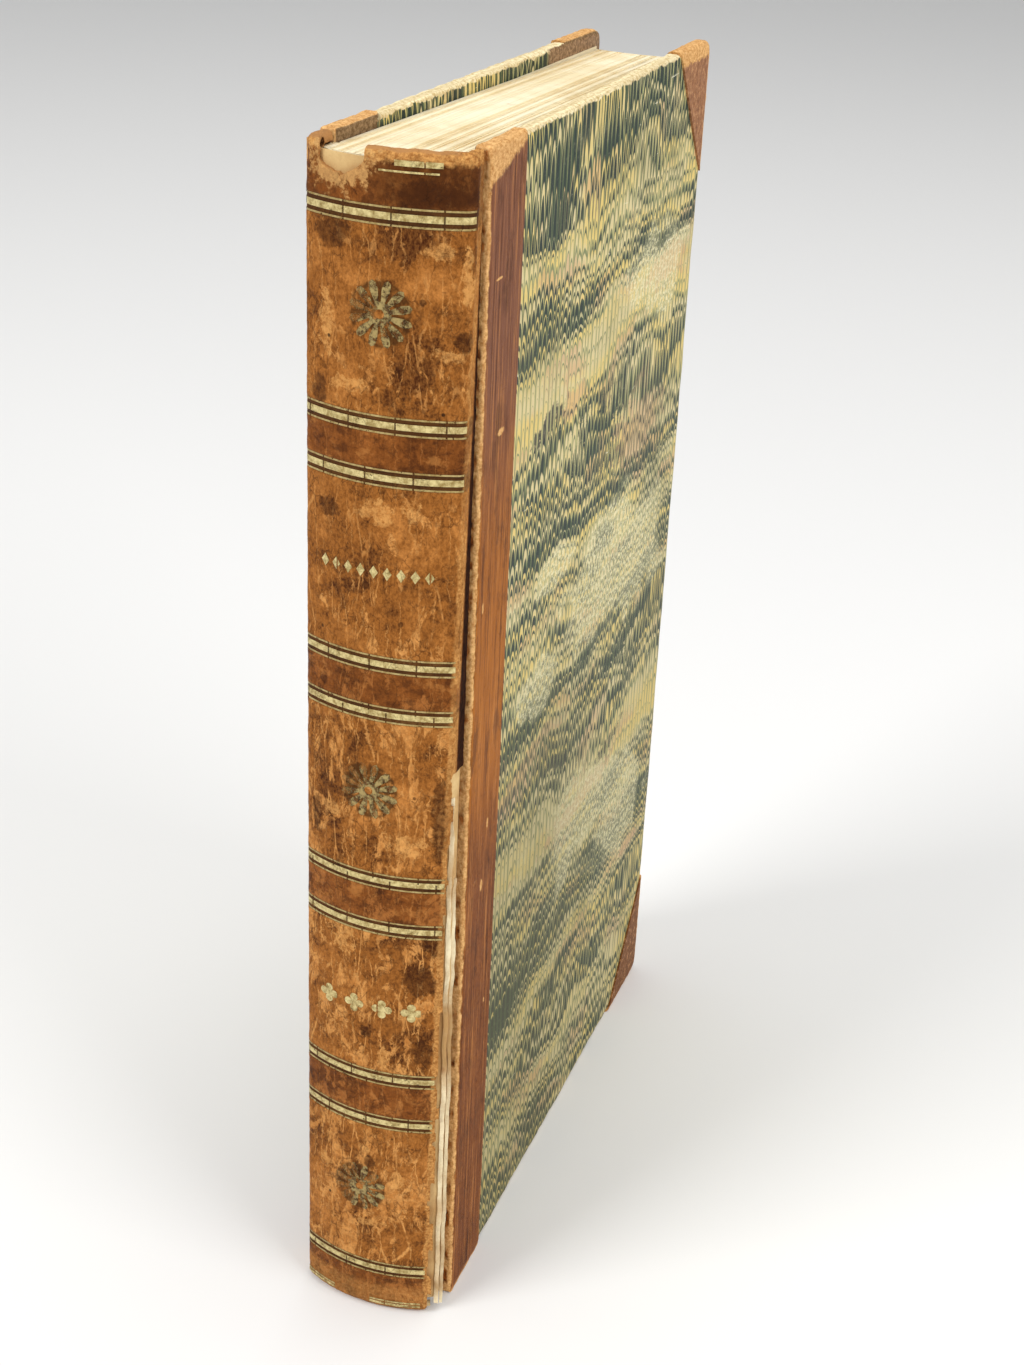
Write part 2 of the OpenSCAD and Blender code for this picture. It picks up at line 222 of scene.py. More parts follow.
def copy_of_node(node, name):
    """A free copy of a CAD node's mesh, with its loose triangles merged."""
    take(frame["nodes"][node])
    bpy.ops.object.duplicate()
    obj = named(name)
    bpy.ops.object.parent_clear(type="CLEAR_KEEP_TRANSFORM")
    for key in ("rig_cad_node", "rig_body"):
        del obj[key]
    obj.data.materials.clear()
    bpy.ops.object.mode_set(mode="EDIT")
    bpy.ops.mesh.select_all(action="SELECT")
    bpy.ops.mesh.remove_doubles(threshold=0.004 * MM)
    leave_edit()
    return obj


def cut_along(obj, *cuts):
    """Adds edge loops across obj: each cut is an axis and the places along it."""
    take(obj)
    bpy.ops.object.mode_set(mode="EDIT")
    for axis, places in cuts:
        turn = {"X": (1, 0, 0), "Y": (0, 1, 0), "Z": (0, 0, 1)}[axis]
        for place in places:
            bpy.ops.mesh.select_all(action="SELECT")
            bpy.ops.mesh.bisect(plane_co=[place * n for n in turn], plane_no=turn)
    leave_edit()


def modify(obj, kind, **settings):
    """Adds a modifier and applies it."""
    take(obj)
    made = obj.modifiers.new(kind.title(), kind)
    for key, value in settings.items():
        setattr(made, key, value)
    bpy.ops.object.modifier_apply(modifier=made.name)


def weigh(obj, name, measure):
    """A vertex group whose weights are measured from each point's place."""
    group = obj.vertex_groups.new(name=name)
    for point in obj.data.vertices:
        weight = measure(point.co)
        if weight > 0:
            group.add([point.index], min(1.0, weight), "REPLACE")
    return name


def roughen(obj, grain, depth, group="", direction="NORMAL", middle=0.5, kind="CLOUDS", octaves=2):
    """Displaces a piece with noise of a grain and depth in metres."""
    texture = bpy.data.textures.new(f"{obj.name}_{grain / MM:.2f}_{direction}", kind)
    texture.noise_scale = grain
    if kind == "CLOUDS":
        texture.noise_depth = octaves
    modify(
        obj, "DISPLACE", texture=texture, texture_coords="LOCAL", strength=depth,
        mid_level=middle, vertex_group=group, direction=direction,
    )


def shade(obj, degrees=40):
    take(obj)
    bpy.ops.object.shade_smooth_by_angle(angle=math.radians(degrees))


def outward(obj):
    take(obj)
    bpy.ops.object.mode_set(mode="EDIT")
    bpy.ops.mesh.select_all(action="SELECT")
    bpy.ops.mesh.remove_doubles(threshold=0.002 * MM)
    bpy.ops.mesh.normals_make_consistent(inside=False)
    leave_edit()


def to_cover(obj, side):
    """Places a piece made beside the joint line, outer face at X = 0, on the front or back board."""
    take(obj)
    obj.rotation_euler = (0, 0, LEAN)
    obj.location = (HINGE_X, JOINT_Y, 0)
    apply_place()
    if side < 0:
        obj.scale = (-1, 1, 1)
        apply_place()
        outward(obj)


def coat(obj, material):
    obj.data.materials.clear()
    obj.data.materials.append(material)


def finish(obj, material, body, nodes=()):
    """Gives a shaped piece its material and its body, and hides the CAD nodes it stands for."""
    coat(obj, material)
    if body:
        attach(obj, body)
    if nodes:
        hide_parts(*nodes)


# Shader nodes

def srgb(red, green, blue):
    """Colour as seen on a screen, 0 to 255, as the linear colour that a shader takes."""
    def linear(c):
        return ((c / 255 + 0.055) / 1.055) ** 2.4 if c > 10 else c / 3294.6
    return (linear(red), linear(green), linear(blue), 1.0)


class Wires:
    """Adds nodes to one tree and wires them up. Every call returns an output socket."""

    def __init__(self, tree):
        self.tree = tree

    def add(self, kind, **settings):
        made = self.tree.nodes.new(kind)
        for key, value in settings.items():
            setattr(made, key, value)
        return made

    def feed(self, socket, value):
        if isinstance(value, bpy.types.NodeSocket):
            self.tree.links.new(value, socket)
        elif value is not None:
            socket.default_value = value

    def math(self, operation, a, b=None, c=None, clamp=False):
        made = self.add("ShaderNodeMath", operation=operation, use_clamp=clamp)
        for socket, value in zip(made.inputs, (a, b, c)):
            self.feed(socket, value)
        return made.outputs[0]

    def plus(self, a, b):
        return self.math("ADD", a, b)

    def minus(self, a, b, clamp=False):
        return self.math("SUBTRACT", a, b, clamp=clamp)

    def linear(self, a, factor, offset, clamp=False):
        return self.math("MULTIPLY_ADD", a, factor, offset, clamp)

    def ratio(self, a, b):
        return self.math("DIVIDE", a, b)

    def size(self, a):
        return self.math("ABSOLUTE", a)

    def fract(self, a):
        return self.math("FRACT", a)

    def vector(self, operation, a, b=None, scale=None):
        made = self.add("ShaderNodeVectorMath", operation=operation)
        self.feed(made.inputs[0], a)
        self.feed(made.inputs[1], b)
        if scale is not None:
            self.feed(made.inputs["Scale"], scale)
        return made.outputs[0]

    def split(self, vector):
        made = self.add("ShaderNodeSeparateXYZ")
        self.feed(made.inputs[0], vector)
        return made.outputs

    def join(self, x=0.0, y=0.0, z=0.0):
        made = self.add("ShaderNodeCombineXYZ")
        for socket, value in zip(made.inputs, (x, y, z)):
            self.feed(socket, value)
        return made.outputs[0]

    def at(self, x, by_x, y, by_y, z=0.0, by_z=None):
        """A place whose coordinates are the values given, each times its factor."""
        x, y = self.product(x, by_x), self.product(y, by_y)
        return self.join(x, y, z if by_z is None else self.product(z, by_z))

    def stretch(self, place, x, y, z):
        return self.vector("MULTIPLY", place, (x, y, z))

    def noise(self, vector, scale, detail=4.0, rough=0.55, warp=0.0):
        made = self.add("ShaderNodeTexNoise")
        self.feed(made.inputs["Vector"], vector)
        made.inputs["Scale"].default_value = scale
        made.inputs["Detail"].default_value = detail
        made.inputs["Roughness"].default_value = rough
        made.inputs["Distortion"].default_value = warp
        return made.outputs[0]

    def swing(self, *noise):
        """Noise about 0."""
        return self.minus(self.noise(*noise), 0.5)

    def lottery(self, value):
        """A number from 0 to 1 that is drawn anew for each whole value."""
        made = self.add("ShaderNodeTexWhiteNoise", noise_dimensions="1D")
        self.feed(made.inputs["W"], value)
        return made.outputs["Value"]

    def voronoi(self, vector, scale, feature="F1", random=1.0):
        made = self.add("ShaderNodeTexVoronoi", feature=feature)
        self.feed(made.inputs["Vector"], vector)
        made.inputs["Scale"].default_value = scale
        made.inputs["Randomness"].default_value = random
        return made.outputs["Distance"]

    def step(self, value, low, high):
        """Smoothly from 0 at low to 1 at high; high may be below low."""
        made = self.add("ShaderNodeMapRange", interpolation_type="SMOOTHSTEP")
        for socket, given in zip(made.inputs, (value, low, high, 0.0, 1.0)):
            self.feed(socket, given)
        return made.outputs[0]

    def torn(self, value, ragged, share, low, high):
        """A step whose edge is drawn in and out by a share of some noise."""
        return self.step(self.plus(value, self.product(ragged, share)), low, high)

    def ramp(self, value, stops, interpolation="LINEAR"):
        made = self.add("ShaderNodeValToRGB")
        made.color_ramp.interpolation = interpolation
        elements = made.color_ramp.elements
        while len(elements) < len(stops):
            elements.new(0.5)
        for element, (place, colour) in zip(elements, stops):
            element.position = place
            element.color = colour
        self.feed(made.inputs[0], value)
        return made.outputs[0]

    def mix(self, amount, a, b, blend="MIX"):
        made = self.add("ShaderNodeMix", data_type="RGBA", blend_type=blend)
        self.feed(made.inputs[0], amount)
        self.feed(made.inputs[6], a)
        self.feed(made.inputs[7], b)
        return made.outputs[2]

    def between(self, value, low, high, rgb_low, rgb_high):
        """The first colour up to low, and the second one from high on."""
        return self.mix(self.step(value, low, high), srgb(*rgb_low), srgb(*rgb_high))

    def paint(self, under, rgb, *masks):
        """A colour, 0 to 255, laid over another one as far as the product of the masks."""
        return self.mix(self.product(*masks), under, srgb(*rgb))

    def most(self, *values):
        result = values[0]
        for value in values[1:]:
            result = self.math("MAXIMUM", result, value)
        return result

    def product(self, *values):
        result = values[0]
        for value in values[1:]:
            result = self.math("MULTIPLY", result, value)
        return result

    def spot(self, x, z, centre, radii, ragged):
        """1 inside an oval at centre with ragged edges, 0 outside."""
        dx = self.ratio(self.minus(x, centre[0]), radii[0])
        dz = self.ratio(self.minus(z, centre[1]), radii[1])
        far = self.math("SQRT", self.plus(self.math("POWER", dx, 2.0), self.math("POWER", dz, 2.0)))
        return self.step(self.plus(far, ragged), 1.15, 0.75)

    def spots(self, x, z, places, ragged):
        """1 inside any of the ovals given as middle and half sizes."""
        return self.most(*(self.spot(x, z, p[:2], p[2:], ragged) for p in places))

    def group(self, tree, **values):
        made = self.add("ShaderNodeGroup", node_tree=tree)
        for key, value in values.items():
            self.feed(made.inputs[key.replace("_", " ")], value)
        return made.outputs


def new_group(name, inputs, outputs):
    """A shader node group, with its wires and its two ends."""
    tree = bpy.data.node_groups.new(name, "ShaderNodeTree")
    for label, kind, default in inputs:
        socket = tree.interface.new_socket(label, in_out="INPUT", socket_type=kind)
        if default is not None:
            socket.default_value = default
    for label, kind in outputs:
        tree.interface.new_socket(label, in_out="OUTPUT", socket_type=kind)
    wires = Wires(tree)
    start = wires.add("NodeGroupInput").outputs
    end = wires.add("NodeGroupOutput").inputs
    return tree, wires, start, end


FLOAT, COLOUR, VECTOR = "NodeSocketFloat", "NodeSocketColor", "NodeSocketVector"


def board_space_group():
    """Object coordinates as millimetres on a board: X out of it, Y from the joint, Z from the tail."""
    tree, w, start, end = new_group("Board space", [("Side", FLOAT, 1.0)], [("Place", VECTOR)])
    place = w.add("ShaderNodeTexCoord").outputs["Object"]
    x, y, z = w.split(place)
    x = w.product(x, start["Side"])
    moved = w.join(w.minus(x, HINGE_X), w.minus(y, JOINT_Y), z)
    turn = w.add("ShaderNodeVectorRotate", rotation_type="Z_AXIS")
    w.feed(turn.inputs["Vector"], moved)
    turn.inputs["Angle"].default_value = -LEAN
    w.feed(end["Place"], w.vector("SCALE", turn.outputs[0], scale=1 / MM))
    return tree


def spine_space_group():
    """Object coordinates as millimetres round the spine: X along its arc, Y in from its outer face, Z up."""
    tree, w, start, end = new_group("Spine space", [], [("Place", VECTOR)])
    x, y, z = w.split(object_place(w))
    ahead = w.minus(SPINE_CENTRE, y)
    turn = w.math("ARCTAN2", x, ahead)
    radius = w.math("SQRT", w.plus(w.product(x, x), w.product(ahead, ahead)))
    w.feed(end["Place"], w.join(w.product(turn, SPINE_R), w.minus(SPINE_R, radius), z))
    return tree


def leather_group():
    """Colour, height and wear of old calf, over a place in millimetres."""
    tree, w, start, end = new_group(
        "Worn calf",
        [("Place", VECTOR, None), ("Dark", COLOUR, None), ("Mid", COLOUR, None), ("Light", COLOUR, None),
         ("Raw", COLOUR, None), ("Mottle", FLOAT, 0.5), ("Lines", FLOAT, 0.5), ("Rubbed", FLOAT, 0.3)],
        [("Colour", COLOUR), ("Height", FLOAT), ("Crack", FLOAT)],
    )
    place = start["Place"]
    x, y, z = w.split(place)
    broad = w.noise(place, 0.075, 5.0, 0.6, 0.6)
    mid = w.noise(place, 0.36, 8.0, 0.68, 0.3)
    fine = w.noise(place, 2.0, 5.0, 0.7)
    tone = w.plus(w.product(broad, 0.48), w.plus(w.product(mid, 0.35), w.product(fine, 0.17)))
    spread = w.linear(w.minus(tone, 0.5), w.linear(start["Mottle"], 4.4, 0.5), 0.5)
    colour = w.mix(w.step(spread, 0.05, 0.5), start["Dark"], start["Mid"])
    colour = w.mix(w.step(spread, 0.48, 1.0), colour, start["Light"])
    # The skin is rubbed off in ragged islands that run up and down
    drift = w.at(x, 0.21, y, 0.21, z, 0.095)
    patch = w.noise(drift, 1.0, 9.0, 0.74, 0.6)
    edge = w.linear(start["Rubbed"], -0.13, 0.64)
    rubbed = w.step(patch, edge, w.plus(edge, 0.035))
    raw = w.mix(w.step(mid, 0.38, 0.62), start["Light"], start["Raw"])
    colour = w.mix(w.product(rubbed, 0.85), colour, raw)
    # Fine upright splits show the paler flesh
    bent = w.vector("ADD", place, w.vector("SCALE", w.join(mid, mid, broad), scale=2.4))
    web = w.voronoi(w.stretch(bent, 0.46, 0.46, 0.06), 1.0, "DISTANCE_TO_EDGE")
    line = w.product(w.step(web, 0.05, 0.012), w.step(w.noise(place, 0.17, 4.0), 0.42, 0.56), start["Lines"])
    colour = w.mix(line, colour, start["Raw"])
    # Dark crazing and pores
    net = w.voronoi(w.stretch(bent, 0.9, 0.9, 0.42), 0.8, "DISTANCE_TO_EDGE")
    crack = w.product(w.step(net, 0.06, 0.0), w.step(w.noise(place, 0.21, 3.0), 0.46, 0.6))
    colour = w.mix(w.product(crack, 0.6), colour, start["Dark"])
    pores = w.step(w.voronoi(place, 2.6), 0.24, 0.05)
    colour = w.mix(w.product(pores, 0.35), colour, start["Dark"])
    nap = w.step(w.noise(w.stretch(place, 1.0, 1.0, 0.6), 1.9, 4.0, 0.75), 0.38, 0.62)
    colour = w.mix(w.product(w.minus(1.0, nap), 0.3), colour, start["Dark"])
    colour = w.mix(w.product(nap, 0.24), colour, start["Light"])
    height = w.plus(w.product(fine, 0.4), w.product(mid, 0.4))
    height = w.minus(height, w.plus(w.product(crack, 0.4), w.product(rubbed, 0.35)))
    w.feed(end["Colour"], colour)
    w.feed(end["Height"], w.minus(height, w.product(line, 0.15)))
    w.feed(end["Crack"], crack)
    return tree


def paper_group():
    """Colour and height of old paper with foxing, over a place in millimetres."""
    tree, w, start, end = new_group(
        "Old paper",
        [("Place", VECTOR, None), ("Clean", COLOUR, None), ("Stained", COLOUR, None), ("Foxing", FLOAT, 0.3)],
        [("Colour", COLOUR), ("Height", FLOAT)],
    )
    place = start["Place"]
    cloud = w.noise(place, 0.05, 6.0, 0.6, 0.3)
    fibre = w.noise(place, 1.6, 6.0, 0.7)
    colour = w.mix(w.step(cloud, 0.38, 0.68), start["Clean"], start["Stained"])
    colour = w.mix(w.product(w.step(fibre, 0.45, 0.75), 0.3), colour, start["Stained"])
    fox = w.product(w.step(w.voronoi(place, 0.16), 0.16, 0.04), w.step(w.noise(place, 0.07), 0.5, 0.62))
    colour = w.paint(colour, (160, 110, 60), fox, start["Foxing"])
    w.feed(end["Colour"], colour)
    w.feed(end["Height"], fibre)
    return tree


# Marbling beside the leather strip: height in millimetres, and how green it is, from yellow at 0 to dark at 1
MARBLE_BANDS = [
    (0, 0.74), (15, 0.64), (21, 0.22), (26, 0.84), (30, 0.5), (34, 0.84), (40, 0.2), (47, 0.8),
    (55, 0.97), (66, 0.6), (76, 0.7), (81, 0.12), (88, 0.06), (92, 0.66), (103, 0.76), (108, 0.55),
    (114, 0.95), (121, 0.46), (126, 0.66), (132, 0.4), (138, 0.66), (144, 0.36), (150, 0.9), (158, 0.5),
    (168, 0.6), (171, 0.14), (176, 0.05), (182, 0.05), (187, 0.92), (204, 0.24), (208, 0.88), (228, 0.42),
]
# How far the bands climb over 100 millimetres towards the fore-edge, at heights in millimetres
MARBLE_CLIMB = [
    (0, -2), (25, 0), (40, 9), (60, 0), (85, -5), (98, 2), (112, 8), (130, -3), (150, -6), (170, 7),
    (190, 8), (207, 2), (228, 3),
]
CLIMB_RANGE = 10
# Places on the board where the marbling is nearly black, teal or rose, and where the paper is rubbed
BLACK_DROPS = [(36, 171, 9, 2.2), (88, 87, 8, 2.2), (52, 96, 8, 1.6)]
TEAL_POOLS = [(66, 160, 16, 5), (25, 52, 9, 4), (95, 104, 12, 2.5)]
ROSE_POOLS = [(50, 170, 8, 2.6), (30, 104, 22, 2.2), (108, 180, 14, 5), (112, 40, 9, 4), (70, 82, 20, 3.5),
              (95, 158, 16, 4)]
RUBBED_AREAS = [(82, 126, 34, 17), (46, 141, 13, 4), (72, 73, 28, 10), (100, 60, 22, 14), (96, 186, 26, 10),
                (40, 120, 14, 6)]


def marble_group():
    """Combed marbling over a board: stacked arches in narrow columns, over broad waves."""
    tree, w, start, end = new_group(
        "Combed marbling",
        [("Place", VECTOR, None), ("Tooth", FLOAT, 2.25), ("Rubbing", FLOAT, 1.0)],
        [("Colour", COLOUR), ("Height", FLOAT), ("Rubbed", FLOAT)],
    )
    x, y, z = w.split(start["Place"])
    flat = w.join(y, z, 0.0)
    tall = BOARD_TOP / MM
    share = w.ratio(z, tall)
    climbs = [(at / tall, ((rise / CLIMB_RANGE + 1) / 2,) * 3 + (1,)) for at, rise in MARBLE_CLIMB]
    climb = w.linear(w.ramp(share, climbs), 2 * CLIMB_RANGE, -CLIMB_RANGE)
    broad = w.swing(w.at(y, 0.019, z, 0.028), 1.0, 2.0)
    small = w.swing(w.at(y, 0.06, z, 0.05, 3.0), 1.0, 3.0)
    wave = w.plus(w.product(broad, 20.0, w.step(y, 10.0, 60.0)), w.product(small, 5.0))
    out = w.product(w.minus(y, 17.0), 0.01)
    # The comb's last stroke at the head drew the pattern out
    stroke = w.product(w.most(w.minus(z, 207.0), 0.0), 0.5)
    level = w.plus(w.minus(w.minus(z, stroke), w.product(climb, out)), wave)
    bands = [(at / tall, (green, green, green, 1)) for at, green in MARBLE_BANDS]
    green = w.ramp(w.ratio(level, tall), bands)
    stray = w.swing(w.at(y, 0.05, level, 0.13, 8.0), 1.0, 3.0)
    ragged = w.product(w.swing(flat, 0.3, 5.0, 0.75), 4.0)
    teal = w.spots(y, level, TEAL_POOLS, ragged)
    green = w.plus(green, w.linear(stray, 1.5, w.product(teal, 0.35)))
    green = w.linear(w.minus(green, 0.5), 0.64, 0.47, clamp=True)
    # The comb draws each column into arches, a little differently from the next
    sway = w.swing(w.at(y, 0.22, z, 0.006), 1.0, 2.0)
    column = w.plus(w.ratio(y, start["Tooth"]), w.product(sway, 1.5))
    across = w.product(w.size(w.minus(w.fract(column), 0.5)), 2.0)
    lot = w.lottery(w.math("FLOOR", column))
    arch = w.product(across, across, w.linear(lot, 1.8, 2.2))
    drawn = w.plus(w.plus(level, arch), w.product(lot, 1.5))
    slack = w.noise(w.at(y, 0.03, drawn, 0.12, 5.0), 1.0, 2.0)
    phase = w.fract(w.plus(w.ratio(drawn, 3.0), w.product(slack, 2.4)))
    # Each turn of the pattern is a yellow arch with a green one over it, whose crown is a dark drop
    reach = w.linear(green, -1.2, 1.16)
    yellow = w.product(w.step(w.minus(reach, phase), -0.07, 0.07), w.step(phase, 0.0, 0.08))
    tint = w.noise(w.at(y, 0.05, drawn, 0.2, 1.3), 1.0, 3.0)
    sun = w.between(tint, 0.38, 0.62, (214, 188, 112), (206, 190, 142))
    sun = w.paint(sun, (176, 170, 116), w.step(across, 0.5, 0.85))
    sun = w.paint(sun, (128, 138, 98), w.step(green, 0.62, 0.85), 0.5)
    leaf = w.between(green, 0.3, 0.7, (124, 128, 88), (56, 72, 54))
    drop = w.product(w.step(across, 0.6, 0.3), w.step(green, 0.3, 0.45), w.step(phase, 0.94, 0.84))
    leaf = w.paint(leaf, (34, 42, 42), drop, 0.8)
    colour = w.mix(yellow, leaf, sun)
    seam = w.product(w.step(across, 0.8, 0.97), w.step(w.noise(flat, 0.05, 3.0), 0.3, 0.55))
    colour = w.paint(colour, (84, 86, 54), seam, 0.6)
    rose = w.product(w.spots(y, level, ROSE_POOLS, ragged), w.linear(yellow, 0.45, 0.15))
    colour = w.paint(colour, (198, 146, 116), rose, 0.7)
    blush = w.step(w.noise(w.at(y, 0.035, drawn, 0.16, 30.0), 1.0, 3.0), 0.56, 0.64)
    colour = w.paint(colour, (196, 150, 116), blush, yellow, 0.5)
    black = w.product(w.spots(y, level, BLACK_DROPS, ragged), w.step(across, 0.75, 0.5))
    colour = w.paint(colour, (30, 38, 42), black, 0.9)
    # Rubbing lifts the paint off in flecks
    loose = w.noise(flat, 0.04, 6.0, 0.62, 0.5)
    areas = w.spots(y, z, RUBBED_AREAS, w.product(w.minus(loose, 0.5), 3.4))
    worn = w.product(w.most(areas, w.product(w.step(loose, 0.56, 0.7), 0.6)), start["Rubbing"])
    flecks = w.noise(w.at(y, 0.8, z, 1.1), 1.0, 6.0, 0.74)
    lifted = w.torn(flecks, worn, 0.09, 0.56, 0.68)
    rubbed = w.product(lifted, w.linear(worn, 0.62, 0.12))
    colour = w.paint(colour, (206, 198, 152), worn, 0.26)
    colour = w.paint(colour, (228, 220, 180), rubbed)
    scratch = w.noise(w.at(y, 0.14, z, 1.0, 4.0), 1.0, 6.0, 0.7, 0.6)
    scratched = w.product(w.step(scratch, 0.66, 0.71), start["Rubbing"])
    colour = w.paint(colour, (236, 230, 202), scratched, 0.7)
    dirt = w.step(w.noise(flat, 0.03, 6.0, 0.6), 0.5, 0.72)
    colour = w.paint(colour, (104, 100, 70), dirt, 0.3)
    # Darker towards the tail and towards the joint
    darker_low_and_near_joint = w.product(w.step(z, 150.0, 80.0), w.linear(w.step(y, 100.0, 40.0), 0.24, 0.16))
    colour = w.paint(colour, (84, 78, 46), darker_low_and_near_joint)
    w.feed(end["Colour"], colour)
    w.feed(end["Height"], w.minus(w.product(flecks, 0.4), w.product(rubbed, 0.3)))
    w.feed(end["Rubbed"], rubbed)
    return tree


def new_material(name, build, *given_to_build):
    """A material whose build function gives the colour, roughness and bump of its Principled shader."""
    material = bpy.data.materials.new(name)
    material.use_nodes = True
    wires = Wires(material.node_tree)
    shader = material.node_tree.nodes["Principled BSDF"]
    given = build(wires, *given_to_build)
    shader.inputs["Specular IOR Level"].default_value = given.pop("Shine", 0.3)
    bump = given.pop("Bump", None)
    for key, value in given.items():
        wires.feed(shader.inputs[key], value)
    if bump:
        made = wires.add("ShaderNodeBump")
        made.inputs["Strength"].default_value = bump[1]
        made.inputs["Distance"].default_value = bump[2]
        wires.feed(made.inputs["Height"], bump[0])
        wires.feed(shader.inputs["Normal"], made.outputs[0])
    return material


def object_place(w):
    """Object coordinates in millimetres."""
    return w.vector("SCALE", w.add("ShaderNodeTexCoord").outputs["Object"], scale=1 / MM)


# Blotches and rubbed patches of the spine: middle along the arc and in height, and half sizes, in millimetres
DARK_SPOTS = [
    (14.0, 198.7, 1.6, 1.8), (9.0, 221.2, 7.0, 2.3), (-8.5, 214.0, 3.6, 2.6), (3.9, 210.6, 0.5, 0.5),
    (7.3, 204.8, 0.6, 0.6), (3.8, 193.4, 0.7, 0.9), (4.2, 186.9, 0.6, 0.7), (-1.5, 156.4, 0.8, 0.8),
    (4.8, 150.2, 0.5, 0.5), (-10.0, 136.4, 0.9, 0.9), (12.3, 113.5, 1.5, 9.0), (-11.7, 109.7, 1.2, 4.0),
    (9.6, 79.5, 3.4, 3.4), (12.0, 87.0, 2.2, 2.4), (-0.6, 66.3, 1.2, 1.3), (10.6, 63.5, 1.8, 3.6),
    (0.5, 36.3, 1.3, 1.6), (-3.3, 2.4, 1.6, 1.6), (-11.0, 188.0, 1.6, 3.0), (-9.0, 168.5, 2.2, 1.8),
]
PALE_SPOTS = [
    (12.2, 196.6, 2.4, 1.0), (14.4, 208.0, 1.0, 4.5), (-9.6, 199.5, 1.3, 5.0), (-5.5, 190.2, 3.6, 1.3),
    (10.0, 212.8, 2.4, 1.3), (0.4, 169.6, 2.8, 2.0), (6.5, 170.0, 1.6, 1.6), (6.4, 107.5, 3.4, 2.0),
    (-5.2, 86.5, 2.0, 3.8), (7.4, 57.2, 2.6, 1.5), (6.4, 32.6, 1.5, 2.2), (0.7, 21.5, 3.2, 0.8),
    (-9.2, 33.0, 1.8, 1.5), (0.0, 39.3, 0.7, 0.7), (-8.0, 112.0, 2.0, 1.5), (3.0, 60.5, 1.0, 3.5),
]
# The torn front edge of the spine's calf: its place along the arc at the tail, in millimetres, and how much
# further out it lies at the head, in a curve of this power
EDGE_T_TAIL = 13.5
EDGE_T_RISE = 3.1
EDGE_T_POWER = 1.6
CALF_COLOURS = {"Dark": (64, 30, 9), "Mid": (138, 83, 32), "Light": (184, 120, 58), "Raw": (216, 154, 86)}
SUEDE_DARK = (132, 78, 32)
SUEDE_LIGHT = (216, 160, 92)


def spine_calf(w, place):
    """The shared leather in the spine's colours, more rubbed towards the tail."""
    z = w.split(place)[2]
    wear = w.linear(w.step(z, 200.0, 90.0), 0.66, 0.38)
    lines = w.linear(w.step(z, 190.0, 70.0), 0.45, 0.45)
    colours = {name: srgb(*rgb) for name, rgb in CALF_COLOURS.items()}
    leather = shared("leather", leather_group)
    return w.group(leather, Place=place, Mottle=0.9, Lines=lines, Rubbed=wear, **colours)


def pressed_flowers(w, t, z):
    """1 in the hollows between the petals of the rosettes."""
    pressed = []
    for low, high in TOOL_BOXES["gilt_rosettes"]:
        middle = along_spine((low + high) / 2)[0]
        size = (high.z - low.z) / 2 / MM
        over = w.minus(z, (low.z + high.z) / 2 / MM)
        beside = w.minus(t, middle)
        far = w.math("SQRT", w.plus(w.product(over, over), w.product(beside, beside)))
        turn = w.fract(w.product(w.math("ARCTAN2", over, beside), 6 / math.pi))
        gap = w.step(w.size(w.minus(turn, 0.5)), 0.12, 0.3)
        inside = w.product(w.step(far, size + 0.4, size - 0.3), w.step(far, 1.0, 1.8))
        pressed.append(w.product(gap, inside))
    return w.most(*pressed)


def false_bands(w, z):
    """1 on the bands between the panels and past the outer fillets, 0 on the panels."""
    levels = [f / MM / SPINE_TOP for f in FILLETS]
    stops = [(0.0, (1, 1, 1, 1)), (levels[0], (0, 0, 0, 1))]
    for low, high in zip(levels[1::2], levels[2::2]):
        stops += [(low, (1, 1, 1, 1)), (high, (0, 0, 0, 1))]
    stops.append((levels[-1], (1, 1, 1, 1)))
    return w.ramp(w.ratio(z, SPINE_TOP), stops, "CONSTANT")


